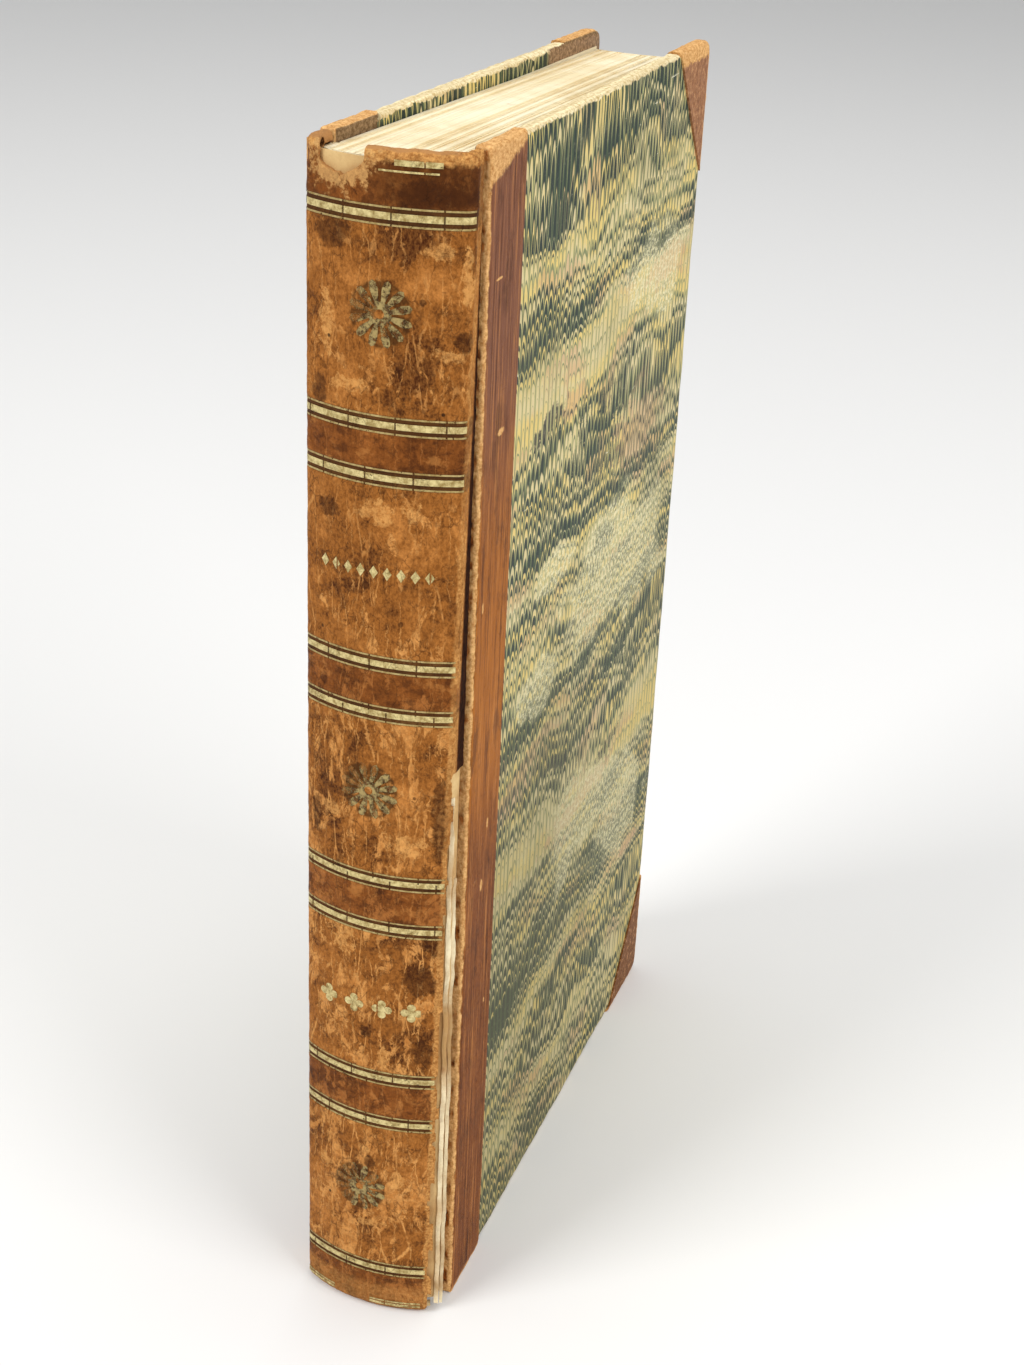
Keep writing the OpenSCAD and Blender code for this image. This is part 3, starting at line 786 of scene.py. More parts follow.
def spine_calf_looks(w):
    place = w.group(shared("spine", spine_space_group))["Place"]
    t, depth, z = w.split(place)
    calf = spine_calf(w, place)
    colour = calf["Colour"]
    ragged = w.product(w.swing(place, 0.6, 5.0, 0.7), 1.6)
    bands = false_bands(w, z)
    smoother = w.paint(w.mix(1.0, colour, srgb(206, 176, 156), "MULTIPLY"), (108, 64, 28), 0.42)
    colour = w.mix(w.product(bands, 0.8), colour, smoother)
    cloud = w.noise(w.stretch(place, 1.0, 1.0, 1.4), 0.24, 6.0, 0.68)
    colour = w.paint(colour, (62, 30, 11), bands, w.step(cloud, 0.5, 0.62), 0.62)
    colour = w.paint(colour, (184, 122, 62), bands, w.step(cloud, 0.46, 0.36), 0.4)
    pale = w.spots(t, z, PALE_SPOTS, w.product(ragged, 2.6))
    nap = w.step(w.noise(place, 0.8, 6.0, 0.75), 0.36, 0.6)
    colour = w.paint(colour, (214, 156, 88), pale, w.linear(nap, 0.6, 0.04))
    dark = w.spots(t, z, DARK_SPOTS, w.product(ragged, 1.4))
    colour = w.paint(colour, (50, 22, 7), dark, w.linear(nap, -0.3, 0.82))
    # Painted shade below the overhanging head cap
    shade_under_cap = w.product(w.torn(z, ragged, 2.0, 218.5, 220.5), w.step(t, -5.0, 2.0))
    colour = w.paint(colour, (62, 32, 11), shade_under_cap, 0.6)
    clear = w.step(w.noise(place, 0.45, 4.0), 0.36, 0.56)
    colour = w.paint(colour, (58, 34, 12), pressed_flowers(w, t, z), clear, 0.8)
    # Fillets are ringed with dark, pressed leather
    near = [w.step(w.size(w.minus(z, f / MM)), 1.75, 1.35) for f in FILLETS]
    colour = w.paint(colour, (62, 38, 18), w.most(*near), 0.85)
    # Small black specks
    speckled = w.step(w.noise(place, 0.08, 2.0), 0.45, 0.55)
    specks = w.product(w.step(w.voronoi(place, 0.2), 0.085, 0.05), speckled)
    colour = w.paint(colour, (30, 16, 10), specks, 0.85)
    # Fleshy, rubbed leather on the caps and along the torn front edge
    fluff = w.noise(w.stretch(place, 0.9, 1.0, 1.1), 1.4, 6.0, 0.75)
    loose = w.product(w.swing(place, 0.35, 5.0, 0.7), 4.0)
    cap = w.step(w.plus(z, loose), SPINE_TOP - 2.6, SPINE_TOP - 1.7)
    scar = w.spot(t, z, (-7.6, SPINE_TOP - 2.4), (6.4, 4.8), w.product(ragged, 1.7))
    tail = w.most(w.step(w.plus(z, loose), 1.2, 0.2), w.product(w.step(w.plus(z, loose), 7.5, 5.0), 0.5))
    rise = w.math("POWER", w.most(w.ratio(z, SPINE_TOP), 0.0), EDGE_T_POWER)
    edge_t = w.linear(rise, EDGE_T_RISE, EDGE_T_TAIL)
    past = w.minus(w.plus(t, w.product(loose, 0.45)), edge_t)
    margin = w.step(past, w.linear(rise, 0.9, -1.9), w.linear(rise, 0.9, -1.4))
    patchy = w.linear(w.step(w.noise(place, 0.1, 4.0), 0.44, 0.58), 0.55, 0.4)
    patchy = w.most(patchy, w.step(z, 120.0, 70.0))
    flesh = w.between(fluff, 0.28, 0.72, SUEDE_DARK, SUEDE_LIGHT)
    flesh = w.paint(flesh, (208, 166, 108), scar, 0.45)
    worn = w.most(cap, w.product(scar, 0.8), w.product(margin, patchy, 0.9), w.product(tail, 0.8))
    colour = w.mix(worn, colour, flesh)
    # Under the torn skin and inside, the calf is darker and fibrous; in the crack beside the torn edge a
    # near-black painted shadow lies over the fibres
    torn = w.step(w.minus(t, edge_t), 0.25, 0.7)
    fibre = w.noise(w.stretch(place, 1.5, 1.5, 0.5), 1.0, 6.0, 0.75)
    rust = w.between(fibre, 0.38, 0.66, (44, 19, 7), (126, 68, 28))
    # Near-black painted shadow where the crack is deepest, from about the middle of the spine up
    crack_shadow = w.product(w.step(w.minus(t, edge_t), 0.4, 0.85), w.step(z, 90.0, 130.0))
    rust = w.paint(rust, (24, 10, 5), crack_shadow, 0.85)
    colour = w.mix(w.product(torn, w.step(z, SPINE_TOP - 1.5, SPINE_TOP - 3.5)), colour, rust)
    inside = w.product(w.step(depth, 0.5, 0.8), w.step(t, 13.0, 12.0))
    colour = w.paint(colour, (170, 122, 74), inside)
    height = w.plus(calf["Height"], w.product(worn, fluff, 0.7))
    rough = w.linear(w.most(worn, torn), 0.3, w.linear(bands, -0.08, 0.54))
    return {"Base Color": colour, "Roughness": rough, "Shine": 0.05, "Bump": (height, 0.7, 0.3 * MM)}


_made = {}


def shared(name, maker):
    """What maker makes, made once and then kept under its name."""
    if name not in _made:
        _made[name] = maker()
    return _made[name]


# Chips in the calf of the front board: from the joint, height and half sizes, in millimetres
STRIP_CHIPS = [
    (8.8, 180.0, 1.5, 0.6), (10.2, 104.5, 0.45, 1.0), (8.2, 92.2, 0.6, 1.4), (3.4, 150.0, 0.4, 0.9),
    (12.5, 64.0, 0.3, 0.6), (5.0, 206.5, 1.6, 0.25),
]
# Distance from the joint, in millimetres, past which calf belongs to a corner
CORNER_FROM = 60.0
# Depth under a board's outer face, in millimetres, past which a point is on its inside
INSIDE = (-2.9, -3.1)


def side_calf_looks(w, side):
    """Calf strip beside a joint and the corners of one board."""
    place = w.group(shared("board", board_space_group), Side=side)["Place"]
    x, y, z = w.split(place)
    top = BOARD_TOP / MM
    share = w.ratio(z, top)
    calf = w.group(
        shared("leather", leather_group), Place=place, Dark=srgb(70, 32, 12), Mid=srgb(122, 68, 30),
        Light=srgb(146, 88, 42), Raw=srgb(180, 122, 68), Mottle=0.35, Lines=0.0, Rubbed=0.0,
    )
    colour = w.paint(calf["Colour"], (122, 78, 56), w.step(share, 0.66, 0.88))
    amber = w.paint(colour, (176, 106, 34), 0.62)
    colour = w.mix(w.product(w.step(share, 0.4, 0.54), w.step(share, 0.82, 0.64)), colour, amber)
    is_corner = w.step(y, CORNER_FROM, CORNER_FROM + 1)
    pale = w.mix(0.6, colour, w.mix(share, srgb(104, 68, 36), srgb(166, 118, 80)))
    colour = w.mix(is_corner, colour, pale)
    cloud = w.noise(place, 0.7, 6.0, 0.75)
    colour = w.paint(colour, (98, 54, 28), is_corner, w.step(cloud, 0.5, 0.36), 0.6)
    colour = w.paint(colour, (208, 158, 110), is_corner, w.step(cloud, 0.5, 0.64), 0.6)
    streaky = w.minus(1.0, w.product(is_corner, 0.8))
    grain = w.noise(w.at(y, 1.2, x, 1.2, z, 0.03), 1.0, 6.0, 0.75)
    colour = w.paint(colour, (72, 34, 14), w.step(grain, 0.5, 0.36), streaky, 0.75)
    colour = w.paint(colour, (192, 128, 66), w.step(grain, 0.52, 0.64), streaky, 0.6)
    stain = w.noise(w.at(y, 0.2, x, 0.2, z, 0.07), 1.0, 6.0, 0.7)
    colour = w.paint(colour, (62, 32, 18), w.step(stain, 0.52, 0.64), streaky, 0.5)
    ragged = w.product(w.swing(place, 0.7, 5.0, 0.7), 1.8)
    loose = w.product(w.swing(place, 0.45, 5.0, 0.7), 3.0)
    fluff = w.noise(w.stretch(place, 1.6, 0.8, 1.2), 1.3, 6.0, 0.75)
    flesh = w.between(fluff, 0.28, 0.72, (172, 116, 60), (236, 190, 128))
    joint = w.torn(y, loose, 0.45, 0.85, 0.45)
    sloped = w.minus(w.plus(z, w.product(loose, 1.2)), w.product(y, 0.28))
    head = w.product(w.step(sloped, top - 6.6, top - 5.6), w.step(y, 19.0, 18.0))
    tip = w.product(is_corner, w.torn(z, loose, 1.2, top - 3.6, top - 2.8))
    rim = w.torn(z, loose, 0.6, top - 1.2, top - 0.6)
    foot = w.step(w.plus(z, loose), 1.2, 0.4)
    fore = w.step(w.plus(y, loose), BOARD_W / MM - 1.6, BOARD_W / MM - 0.8)
    chips = w.spots(y, z, STRIP_CHIPS, ragged) if side > 0 else 0.0
    worn = w.most(joint, w.product(head, 0.9), tip, rim, w.product(foot, 0.8), fore)
    worn = w.most(worn, w.product(chips, 0.95))
    colour = w.mix(worn, colour, flesh)
    # The edge in the joint: a suede line outside, rust-brown fibres, and painted shadow at the bottom of the
    # crack
    in_joint = w.step(y, 0.3, 0.12)
    fibre = w.noise(w.stretch(place, 1.8, 1.8, 0.6), 1.0, 6.0, 0.75)
    rust = w.between(fibre, 0.36, 0.66, (74, 32, 12), (172, 100, 44))
    # Painted shadow on the innermost part of the edge, at the bottom of the crack
    rust = w.paint(rust, (30, 14, 6), w.torn(x, loose, 0.3, -2.0, -2.9))
    line = w.torn(x, loose, 0.35, -1.1, -0.7)
    colour = w.mix(in_joint, colour, w.mix(line, rust, flesh))
    # The turned-in calf inside the board has greyed
    inner = w.step(x, *INSIDE)
    grey = w.between(fluff, 0.4, 0.62, (104, 80, 54), (150, 122, 88))
    colour = w.mix(w.product(inner, w.minus(1.0, in_joint)), colour, grey)
    height = w.plus(calf["Height"], w.plus(w.product(worn, fluff, 0.6), w.product(grain, 0.25)))
    rough = w.linear(worn, 0.3, 0.48)
    return {"Base Color": colour, "Roughness": rough, "Shine": 0.04, "Bump": (height, 0.6, 0.25 * MM)}


def side_calf(side, cover):
    name = "Side calf " + cover
    return shared(name, lambda: new_material(name, side_calf_looks, side))


def marbled_looks(w, side):
    place = w.group(shared("board", board_space_group), Side=side)["Place"]
    x, y, z = w.split(place)
    marble = w.group(shared("marble", marble_group), Place=place)
    colour = marble["Colour"]
    loose = w.product(w.swing(place, 0.35, 6.0, 0.72), 3.0)
    top = BOARD_TOP / MM
    torn = w.torn(z, loose, 0.9, top - 1.3, top - 1.05)
    fore = w.torn(y, loose, 0.6, BOARD_W / MM - 0.9, BOARD_W / MM - 0.5)
    foot = w.torn(z, loose, 0.6, 1.0, 0.6)
    bare = w.most(torn, fore, foot)
    fibre = w.noise(place, 1.2, 6.0, 0.7)
    board = w.between(fibre, 0.3, 0.6, (190, 162, 108), (240, 226, 184))
    ply = w.step(w.noise(w.at(x, 1.6, y, 0.02, z, 0.02), 1.0, 4.0, 0.7), 0.42, 0.56)
    board = w.paint(board, (176, 146, 96), ply, 0.35)
    colour = w.mix(bare, colour, board)
    # A thin painted shadow where the paper meets the leather strip
    seam = w.torn(y, loose, 0.2, STRIP_W / MM + 0.7, STRIP_W / MM - 0.2)
    colour = w.paint(colour, (70, 58, 38), seam, 0.5)
    # Inside the board the calf of the corners is turned in, rubbed to a grey suede
    near_fore = w.step(w.plus(y, loose), BOARD_W / MM - 34, BOARD_W / MM - 30)
    from_middle = w.size(w.minus(z, top / 2))
    inside = w.product(w.step(x, *INSIDE), near_fore, w.step(from_middle, top / 2 - 30, top / 2 - 28))
    suede = w.between(fibre, 0.4, 0.62, (112, 84, 58), (166, 134, 100))
    colour = w.mix(inside, colour, suede)
    height = w.plus(marble["Height"], w.product(bare, fibre, 0.8))
    rough = w.linear(w.most(bare, marble["Rubbed"]), 0.25, 0.5)
    return {"Base Color": colour, "Roughness": rough, "Shine": 0.1, "Bump": (height, 0.3, 0.12 * MM)}


def pages_looks(w):
    place = object_place(w)
    x, y, z = w.split(place)
    # Leaves lie side by side through the thickness, drawn in towards the fore-edge with the covers
    taper = w.minus(1.0, w.product(w.minus(y, JOINT_Y / MM), math.tan(LEAN) / (HINGE_X / MM)))
    across = w.ratio(x, taper)
    bow = w.product(w.noise(w.join(0.0, w.product(y, 0.03), w.product(z, 0.03)), 1.0), 0.6)
    leaf = w.plus(across, bow)
    leaves = w.noise(w.at(leaf, 7.0, y, 0.01, z, 0.01), 1.0, 5.0, 0.8)
    coarse = w.noise(w.at(leaf, 1.3, y, 0.006, z, 0.006), 1.0, 3.0, 0.6)
    clean, stained = srgb(243, 231, 198), srgb(228, 208, 164)
    paper = w.group(shared("paper", paper_group), Place=place, Clean=clean, Stained=stained, Foxing=0.2)
    colour = w.paint(paper["Colour"], (196, 172, 126), w.step(leaves, 0.5, 0.68), 0.38)
    colour = w.paint(colour, (252, 245, 224), w.step(leaves, 0.46, 0.32), 0.4)
    height = w.linear(coarse, 0.12, leaves)
    return {"Base Color": colour, "Roughness": 0.85, "Bump": (height, 0.5, 0.15 * MM)}


# Fibrous pieces: clean and stained colours, 0 to 255, and how much foxing
FIBROUS = {
    "Endpaper": ((236, 225, 196), (222, 207, 172), 0.4),
    "Lining paper": ((212, 180, 124), (168, 124, 72), 0.6),
    "Joint paper": ((240, 226, 188), (176, 136, 84), 0.6),
    "Hemp": ((204, 180, 134), (158, 130, 86), 0.0),
    "Pasteboard": ((190, 164, 122), (152, 124, 84), 0.3),
}


def fibrous_material(name):
    return new_material(name, fibrous_looks, *FIBROUS[name])


def fibrous_looks(w, clean, stained, foxing):
    place, sheet = object_place(w), shared("paper", paper_group)
    paper = w.group(sheet, Place=place, Clean=srgb(*clean), Stained=srgb(*stained), Foxing=foxing)
    return {"Base Color": paper["Colour"], "Roughness": 0.85, "Bump": (paper["Height"], 0.3, 0.15 * MM)}


def gilt_looks(w):
    place = w.group(shared("spine", spine_space_group))["Place"]
    t, _, z = w.split(place)
    calf = spine_calf(w, place)
    tone = w.noise(place, 0.8, 5.0, 0.7)
    colour = w.between(tone, 0.35, 0.68, (212, 194, 136), (140, 116, 62))
    # The fine lines beside each broad one are duller and more broken
    away = [w.size(w.minus(z, f / MM)) for f in FILLETS]
    nearest = away[0]
    for value in away[1:]:
        nearest = w.math("MINIMUM", nearest, value)
    fine = w.product(w.step(nearest, 0.6, 0.75), w.step(nearest, 3.0, 2.6))
    colour = w.paint(colour, (138, 112, 60), fine, 0.55)
    # Thin breaks run down through each fillet, about a finger's breadth apart
    slip = w.product(w.math("FLOOR", w.product(z, 0.09)), 0.382)
    cuts = w.fract(w.plus(w.product(t, 0.12), slip))
    cuts = w.size(w.minus(cuts, 0.5))
    ends = w.step(w.size(w.minus(z, SPINE_TOP / 2)), SPINE_TOP / 2 - 9, SPINE_TOP / 2 - 7)
    dull = w.plus(w.product(fine, 0.04), w.product(ends, 0.05))
    dull = w.linear(w.step(z, 90.0, 50.0), 0.03, dull)
    flaked = w.plus(w.noise(place, 0.9, 6.0, 0.72), dull)
    lost = w.most(w.step(cuts, 0.022, 0.014), w.step(flaked, 0.63, 0.655), w.product(calf["Crack"], 0.5))
    alpha = w.minus(1.0, w.product(lost, 0.92), clamp=True)
    return {"Base Color": colour, "Roughness": 0.4, "Metallic": 0.3, "Alpha": alpha}


def flower_gilt_looks(w):
    """Rosettes have lost most of their gold: a dull olive trace is left in their hollows."""
    place = w.group(shared("spine", spine_space_group))["Place"]
    left = w.noise(place, 0.75, 6.0, 0.74)
    colour = w.between(left, 0.4, 0.6, (68, 48, 20), (164, 142, 88))
    side = w.product(w.split(place)[0], 0.025)
    gone = w.step(w.plus(w.noise(place, 0.2, 4.0, 0.6), side), 0.5, 0.42)
    alpha = w.minus(0.95, w.most(w.product(w.step(left, 0.5, 0.42), 0.5), w.product(gone, 0.75)))
    return {"Base Color": colour, "Roughness": 0.5, "Metallic": 0.2, "Alpha": alpha}


# Sizes and colours that a user may set

class BookLooks(bpy.types.PropertyGroup):
    spine_voxel: bpy.props.FloatProperty(
        name="Spine detail", description="Size of the finest shape on the spine's calf",
        default=0.34 * MM, min=0.3 * MM, max=2 * MM, unit="LENGTH", subtype="DISTANCE",
    )
    spine_wear: bpy.props.FloatProperty(
        name="Spine wear", description="Depth of the hollows worn into the spine's calf",
        default=0.26 * MM, min=0, max=1 * MM, unit="LENGTH", subtype="DISTANCE",
    )
    gatherings: bpy.props.IntProperty(
        name="Gatherings", description="Folded sheets that can be told apart on the page edges",
        default=46, min=8, max=80,
    )
    leaf_step: bpy.props.FloatProperty(
        name="Leaf step", description="How far gatherings stand over one another",
        default=0.06 * MM, min=0, max=1 * MM, unit="LENGTH", subtype="DISTANCE",
    )
    backdrop: bpy.props.FloatVectorProperty(
        name="Backdrop", description="Colour of the floor and backdrop",
        default=(0.80, 0.79, 0.77), size=3, min=0, max=1, subtype="COLOR",
    )


def looks():
    return bpy.context.scene.book_looks


def along_spine(point):
    """Millimetres along the spine's arc from its middle, and in from its outer face."""
    x, ahead = point.x / MM, SPINE_CENTRE - point.y / MM
    return SPINE_R * math.atan2(x, ahead), SPINE_R - math.hypot(x, ahead)


# Half the height of a fillet's three lines, the distance over which wear sets in beside gold, the width
# across which points belong to one tool, and the height of a row of tools
FILLET_REACH = 1.9 * MM
WEAR_FADE = 1.2 * MM
TOOL_REACH = 1.2 * MM
TOOL_ROW = 14 * MM


def tooled(point):
    """1 on plain calf, falling to 0 on and beside the gold tooling, so that wear spares it."""
    away = min(abs(point.z - f) for f in FILLETS) - FILLET_REACH
    for name in ("gilt_rosettes", "gilt_small_tools"):
        for low, high in TOOL_BOXES[name]:
            dx = max(low.x - point.x, point.x - high.x, 0)
            dz = max(low.z - point.z, point.z - high.z, 0)
            away = min(away, math.hypot(dx, dz))
    return max(0.0, min(1.0, away / WEAR_FADE))


def tool_boxes(node):
    """Corners of each separate tool of a gilt node: its points, gathered where they lie close together."""
    found = []
    for p in sorted(node_points(node), key=lambda q: (round(q.z / TOOL_ROW), q.x)):
        for low, high in found:
            near_x = low.x - TOOL_REACH < p.x < high.x + TOOL_REACH
            near_z = low.z - 4 * TOOL_REACH < p.z < high.z + 4 * TOOL_REACH
            if near_x and near_z:
                low.x, low.z = min(low.x, p.x), min(low.z, p.z)
                high.x, high.z = max(high.x, p.x), max(high.z, p.z)
                break
        else:
            found.append((p.copy(), p.copy()))
    return found


TOOL_BOXES = {name: tool_boxes(name) for name in ("gilt_rosettes", "gilt_small_tools")}


# The side of the calf that lies on the pages keeps few faces: deeper than this under the outer face and
# nearer than this to the spine's middle, in millimetres, and away from the turned-in ends, in metres
HIDDEN_DEPTH = 0.75
HIDDEN_REACH = 12
HIDDEN_FOOT = 8 * MM
HIDDEN_HEAD = 9 * MM
HIDDEN_SHARE = 0.05
# How far the flesh shows down the head cap, up the tail and down the torn place
CAP_FLESH = 3.2 * MM
TAIL_FLESH = 1.2 * MM
TORN_FLESH = 8 * MM
TORN_FROM_T = -1.5


class BOOK_OT_spine(bpy.types.Operator):
    """Calf over the spine: the CAD form, worn hollow, fleshy at its caps and torn edges"""

    bl_idname = "book.spine"
    bl_label = "Spine calf"

    def execute(self, context):
        calf = copy_of_node("spine_leather", "spine_calf")
        modify(calf, "REMESH", mode="VOXEL", voxel_size=looks().spine_voxel, adaptivity=0.0)
        self.thin_inside(calf)
        outer = weigh(calf, "plain", tooled)
        roughen(calf, 5 * MM, -looks().spine_wear, outer, middle=0.35, octaves=3)
        roughen(calf, 1.1 * MM, -0.12 * MM, outer, middle=0.4, octaves=4)
        top = BACK_HIGH.z

        def fleshy(p):
            t = along_spine(p)[0]
            edge_t = EDGE_T_TAIL + EDGE_T_RISE * max(0, p.z / top) ** EDGE_T_POWER
            head = (p.z - (top - CAP_FLESH)) / MM
            tail = (TAIL_FLESH - p.z) / MM
            edge = t - edge_t + 1
            torn = (p.z - (top - TORN_FLESH)) / (2 * MM) if t < TORN_FROM_T else 0
            return max(head, tail, edge, torn)

        edges = weigh(calf, "fleshy", fleshy)
        roughen(calf, 2.4 * MM, 0.45 * MM, edges, middle=0.75, octaves=2)
        roughen(calf, 0.7 * MM, 0.22 * MM, edges, middle=0.7, octaves=3)
        shade(calf, 60)
        material = new_material("Spine calf", spine_calf_looks)
        finish(calf, material, "book_block", ["spine_leather"])
        return {"FINISHED"}

    def thin_inside(self, calf):
        """Takes most of the faces out of the side that lies on the pages."""
        def hidden(p, normal):
            t, depth = along_spine(p)
            within = HIDDEN_FOOT < p.z < BACK_HIGH.z - HIDDEN_HEAD
            return depth > HIDDEN_DEPTH and abs(t) < HIDDEN_REACH and within
        select_faces(calf, hidden)
        bpy.ops.mesh.decimate(ratio=HIDDEN_SHARE)
        leave_edit()


class BOOK_OT_gilt(bpy.types.Operator):
    """Worn gold on the CAD tooling"""

    bl_idname = "book.gilt"
    bl_label = "Gilt tooling"

    def execute(self, context):
        worn = new_material("Worn gilt", gilt_looks)
        rubbed = new_material("Rubbed gilt", flower_gilt_looks)
        for name, material in (("gilt_fillets", worn), ("gilt_rosettes", rubbed), ("gilt_small_tools", worn)):
            node = frame["nodes"][name]
            coat(node, material)
        return {"FINISHED"}


# Seed of the draw that sets how far each gathering is sunk, and the levels it draws from
PAGES_SEED = 11
PAGES_LEVELS = (0, 1, 2, 3)


class BOOK_OT_pages(bpy.types.Operator):
    """The pages: gatherings standing a hair over one another, behind the flyleaves"""

    bl_idname = "book.pages"
    bl_label = "Pages"

    def execute(self, context):
        pages = copy_of_node("text_block", "pages")
        count = looks().gatherings
        half = PAGE_HIGH.x
        take(pages)
        bpy.ops.object.mode_set(mode="EDIT")
        for i in range(1, count):
            share = 2 * i / count - 1
            bpy.ops.mesh.select_all(action="SELECT")
            bpy.ops.mesh.bisect(
                plane_co=(share * half, JOINT_Y, 0),
                plane_no=(math.cos(LEAN * share), math.sin(LEAN * share), 0),
            )
        leave_edit()

        def gathering(p):
            x = p.x + (p.y - JOINT_Y) * math.tan(LEAN) * (p.x / half)
            return int((x / half + 1) / 2 * count)

        draw = random.Random(PAGES_SEED)
        for turn in (Vector((0, 0, 1)), Vector((0, 0, -1)), Vector((0, 1, 0))):
            levels = [draw.choice(PAGES_LEVELS) for i in range(count)]
            for level in PAGES_LEVELS[1:]:
                def picked(p, normal):
                    return normal.dot(turn) > 0.8 and levels[min(count - 1, max(0, gathering(p)))] == level
                select_faces(pages, picked)
                sunk = -turn * looks().leaf_step * level
                bpy.ops.mesh.extrude_region_move(TRANSFORM_OT_translate={"value": sunk})
                leave_edit()
        shade(pages, 25)
        finish(pages, new_material("Page edges", pages_looks), "book_block", ["text_block"])
        endpaper = fibrous_material("Endpaper")
        for name in ("front_flyleaf", "back_flyleaf", "front_pastedown", "back_pastedown"):
            node = frame["nodes"][name]
            coat(node, endpaper)
        return {"FINISHED"}


class BOOK_OT_lining(bpy.types.Operator):
    """Finishes of the pieces inside: lining, cords, boards and slips"""

    bl_idname = "book.lining"
    bl_label = "Lining and cords"

    def execute(self, context):
        hemp, pasteboard, lining = (fibrous_material(name) for name in ("Hemp", "Pasteboard", "Lining paper"))
        for name, node in frame["nodes"].items():
            if "cord" in name:
                coat(node, hemp)
            if name in ("front_board", "back_board"):
                coat(node, pasteboard)
            if name == "spine_lining":
                coat(node, lining)
        return {"FINISHED"}


# Depths under a board's outer face, in metres: where its paper lies, and where its inside is
BOARD_OUT = -0.4 * MM
BOARD_IN = -3.25 * MM
STRIP_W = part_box("front_leather_strip")[1].y - JOINT_Y
# How far the paper stops short of the board's head and tail
SHY = 0.4 * MM
# Radii of the boards' worn corners and edges, in their paper and in their calf
BOARD_CORNER_R = 2.6 * MM
BOARD_EDGE_R = 0.7 * MM
CALF_CORNER_R = 3.6 * MM
CALF_EDGE_R = 0.9 * MM
# Each cover, with the side of the book that it is on
COVERS = ((1, "front"), (-1, "back"))


def flat_across(a, b):
    """Whether an edge lies along the board and not through its thickness."""
    return abs(a.x - b.x) < 0.1 * MM


def steps(low, high, step):
    count = max(1, round((high - low) / step))
    return [low + (high - low) * i / count for i in range(1, count)]


def edge_loops(low, high, fine, reach):
    """Places of cuts that lie close beside both ends and wide apart between them."""
    close = [fine * i for i in range(1, int(reach / fine) + 1)]
    return [low + c for c in close] + steps(low + reach, high - reach, 6 * MM) + [high - c for c in close]


class BOOK_OT_marbled_sides(bpy.types.Operator):
    """Boards in their marbled paper, rounded and torn at the edges"""

    bl_idname = "book.marbled_sides"
    bl_label = "Marbled sides"

    def execute(self, context):
        for side, cover in COVERS:
            low = Vector((BOARD_IN, STRIP_W - 1.2 * MM, SHY))
            high = Vector((BOARD_OUT, BOARD_W, BOARD_TOP - low.z))
            slab = box_piece(cover + "_marbled_board", low, high)
            round_edges(
                slab, lambda a, b: min(a.y, b.y) > high.y - MM and abs(a.z - b.z) < MM, BOARD_CORNER_R, 5,
            )
            round_edges(
                slab, lambda a, b: flat_across(a, b) and max(a.y, b.y) > low.y + MM, BOARD_EDGE_R, 3,
            )
            fore = high.y - 4 * MM
            cut_along(
                slab,
                ("Z", edge_loops(low.z, high.z, 0.45 * MM, 3 * MM)),
                ("Y", steps(low.y, fore, 1.1 * MM) + steps(fore, high.y, 0.5 * MM)),
                ("X", steps(low.x, high.x, 0.7 * MM)),
            )

            def rim(p):
                inset = min(p.z - low.z, high.z - p.z, high.y - p.y)
                return 1 - inset / (1.6 * MM)

            edges = weigh(slab, "rim", rim)
            roughen(slab, 1.6 * MM, 0.5 * MM, edges, middle=0.75, octaves=4)
            roughen(slab, 14 * MM, 0.35 * MM, "", middle=0.75, octaves=2, direction="X")
            shade(slab, 50)
            to_cover(slab, side)
            stands_for = [cover + "_marbled_side", cover + "_board", cover + "_cord_slips"]
            paper = new_material("Marbled paper " + cover, marbled_looks, side)
            finish(slab, paper, cover + "_cover", stands_for)
        return {"FINISHED"}


class BOOK_OT_leather_strips(bpy.types.Operator):
    """Calf of the boards beside the joints, with a fleshy, curling edge"""

    bl_idname = "book.leather_strips"
    bl_label = "Leather strips"

    def execute(self, context):
        for side, cover in COVERS:
            low = Vector((BOARD_IN, 0, 0))
            high = Vector((0, STRIP_W, BOARD_TOP))
            strip = box_piece(cover + "_joint_calf", low, high)
            round_edges(
                strip, lambda a, b: flat_across(a, b) and a.z > 0 or max(a.y, b.y) < MM, BOARD_EDGE_R, 4,
            )
            cut_along(
                strip,
                ("Z", edge_loops(low.z, high.z, 0.5 * MM, 4 * MM)),
                ("Z", steps(4 * MM, BOARD_TOP - 4 * MM, 1.0 * MM)),
                ("Y", steps(0, 3 * MM, 0.4 * MM) + steps(3 * MM, STRIP_W, 1.2 * MM)),
                ("X", steps(low.x, high.x, 0.6 * MM)),
            )

            def fleshy(p):
                inset = min(p.z, BOARD_TOP - p.z, p.y)
                return 1 - inset / (1.2 * MM)

            edges = weigh(strip, "fleshy", fleshy)
            roughen(strip, 2.2 * MM, 0.5 * MM, edges, middle=0.8, octaves=2)
            roughen(strip, 0.7 * MM, 0.25 * MM, edges, middle=0.8, octaves=3)
            far = weigh(strip, "far", lambda p: 1 - abs(p.y - STRIP_W) / (0.6 * MM))
            roughen(strip, 2.4 * MM, 0.5 * MM, far, direction="Y", octaves=3)
            roughen(strip, 9 * MM, 0.16 * MM, "", middle=0.85, direction="X")
            shade(strip, 50)
            to_cover(strip, side)
            finish(strip, side_calf(side, cover), cover + "_cover", [cover + "_leather_strip"])
        return {"FINISHED"}


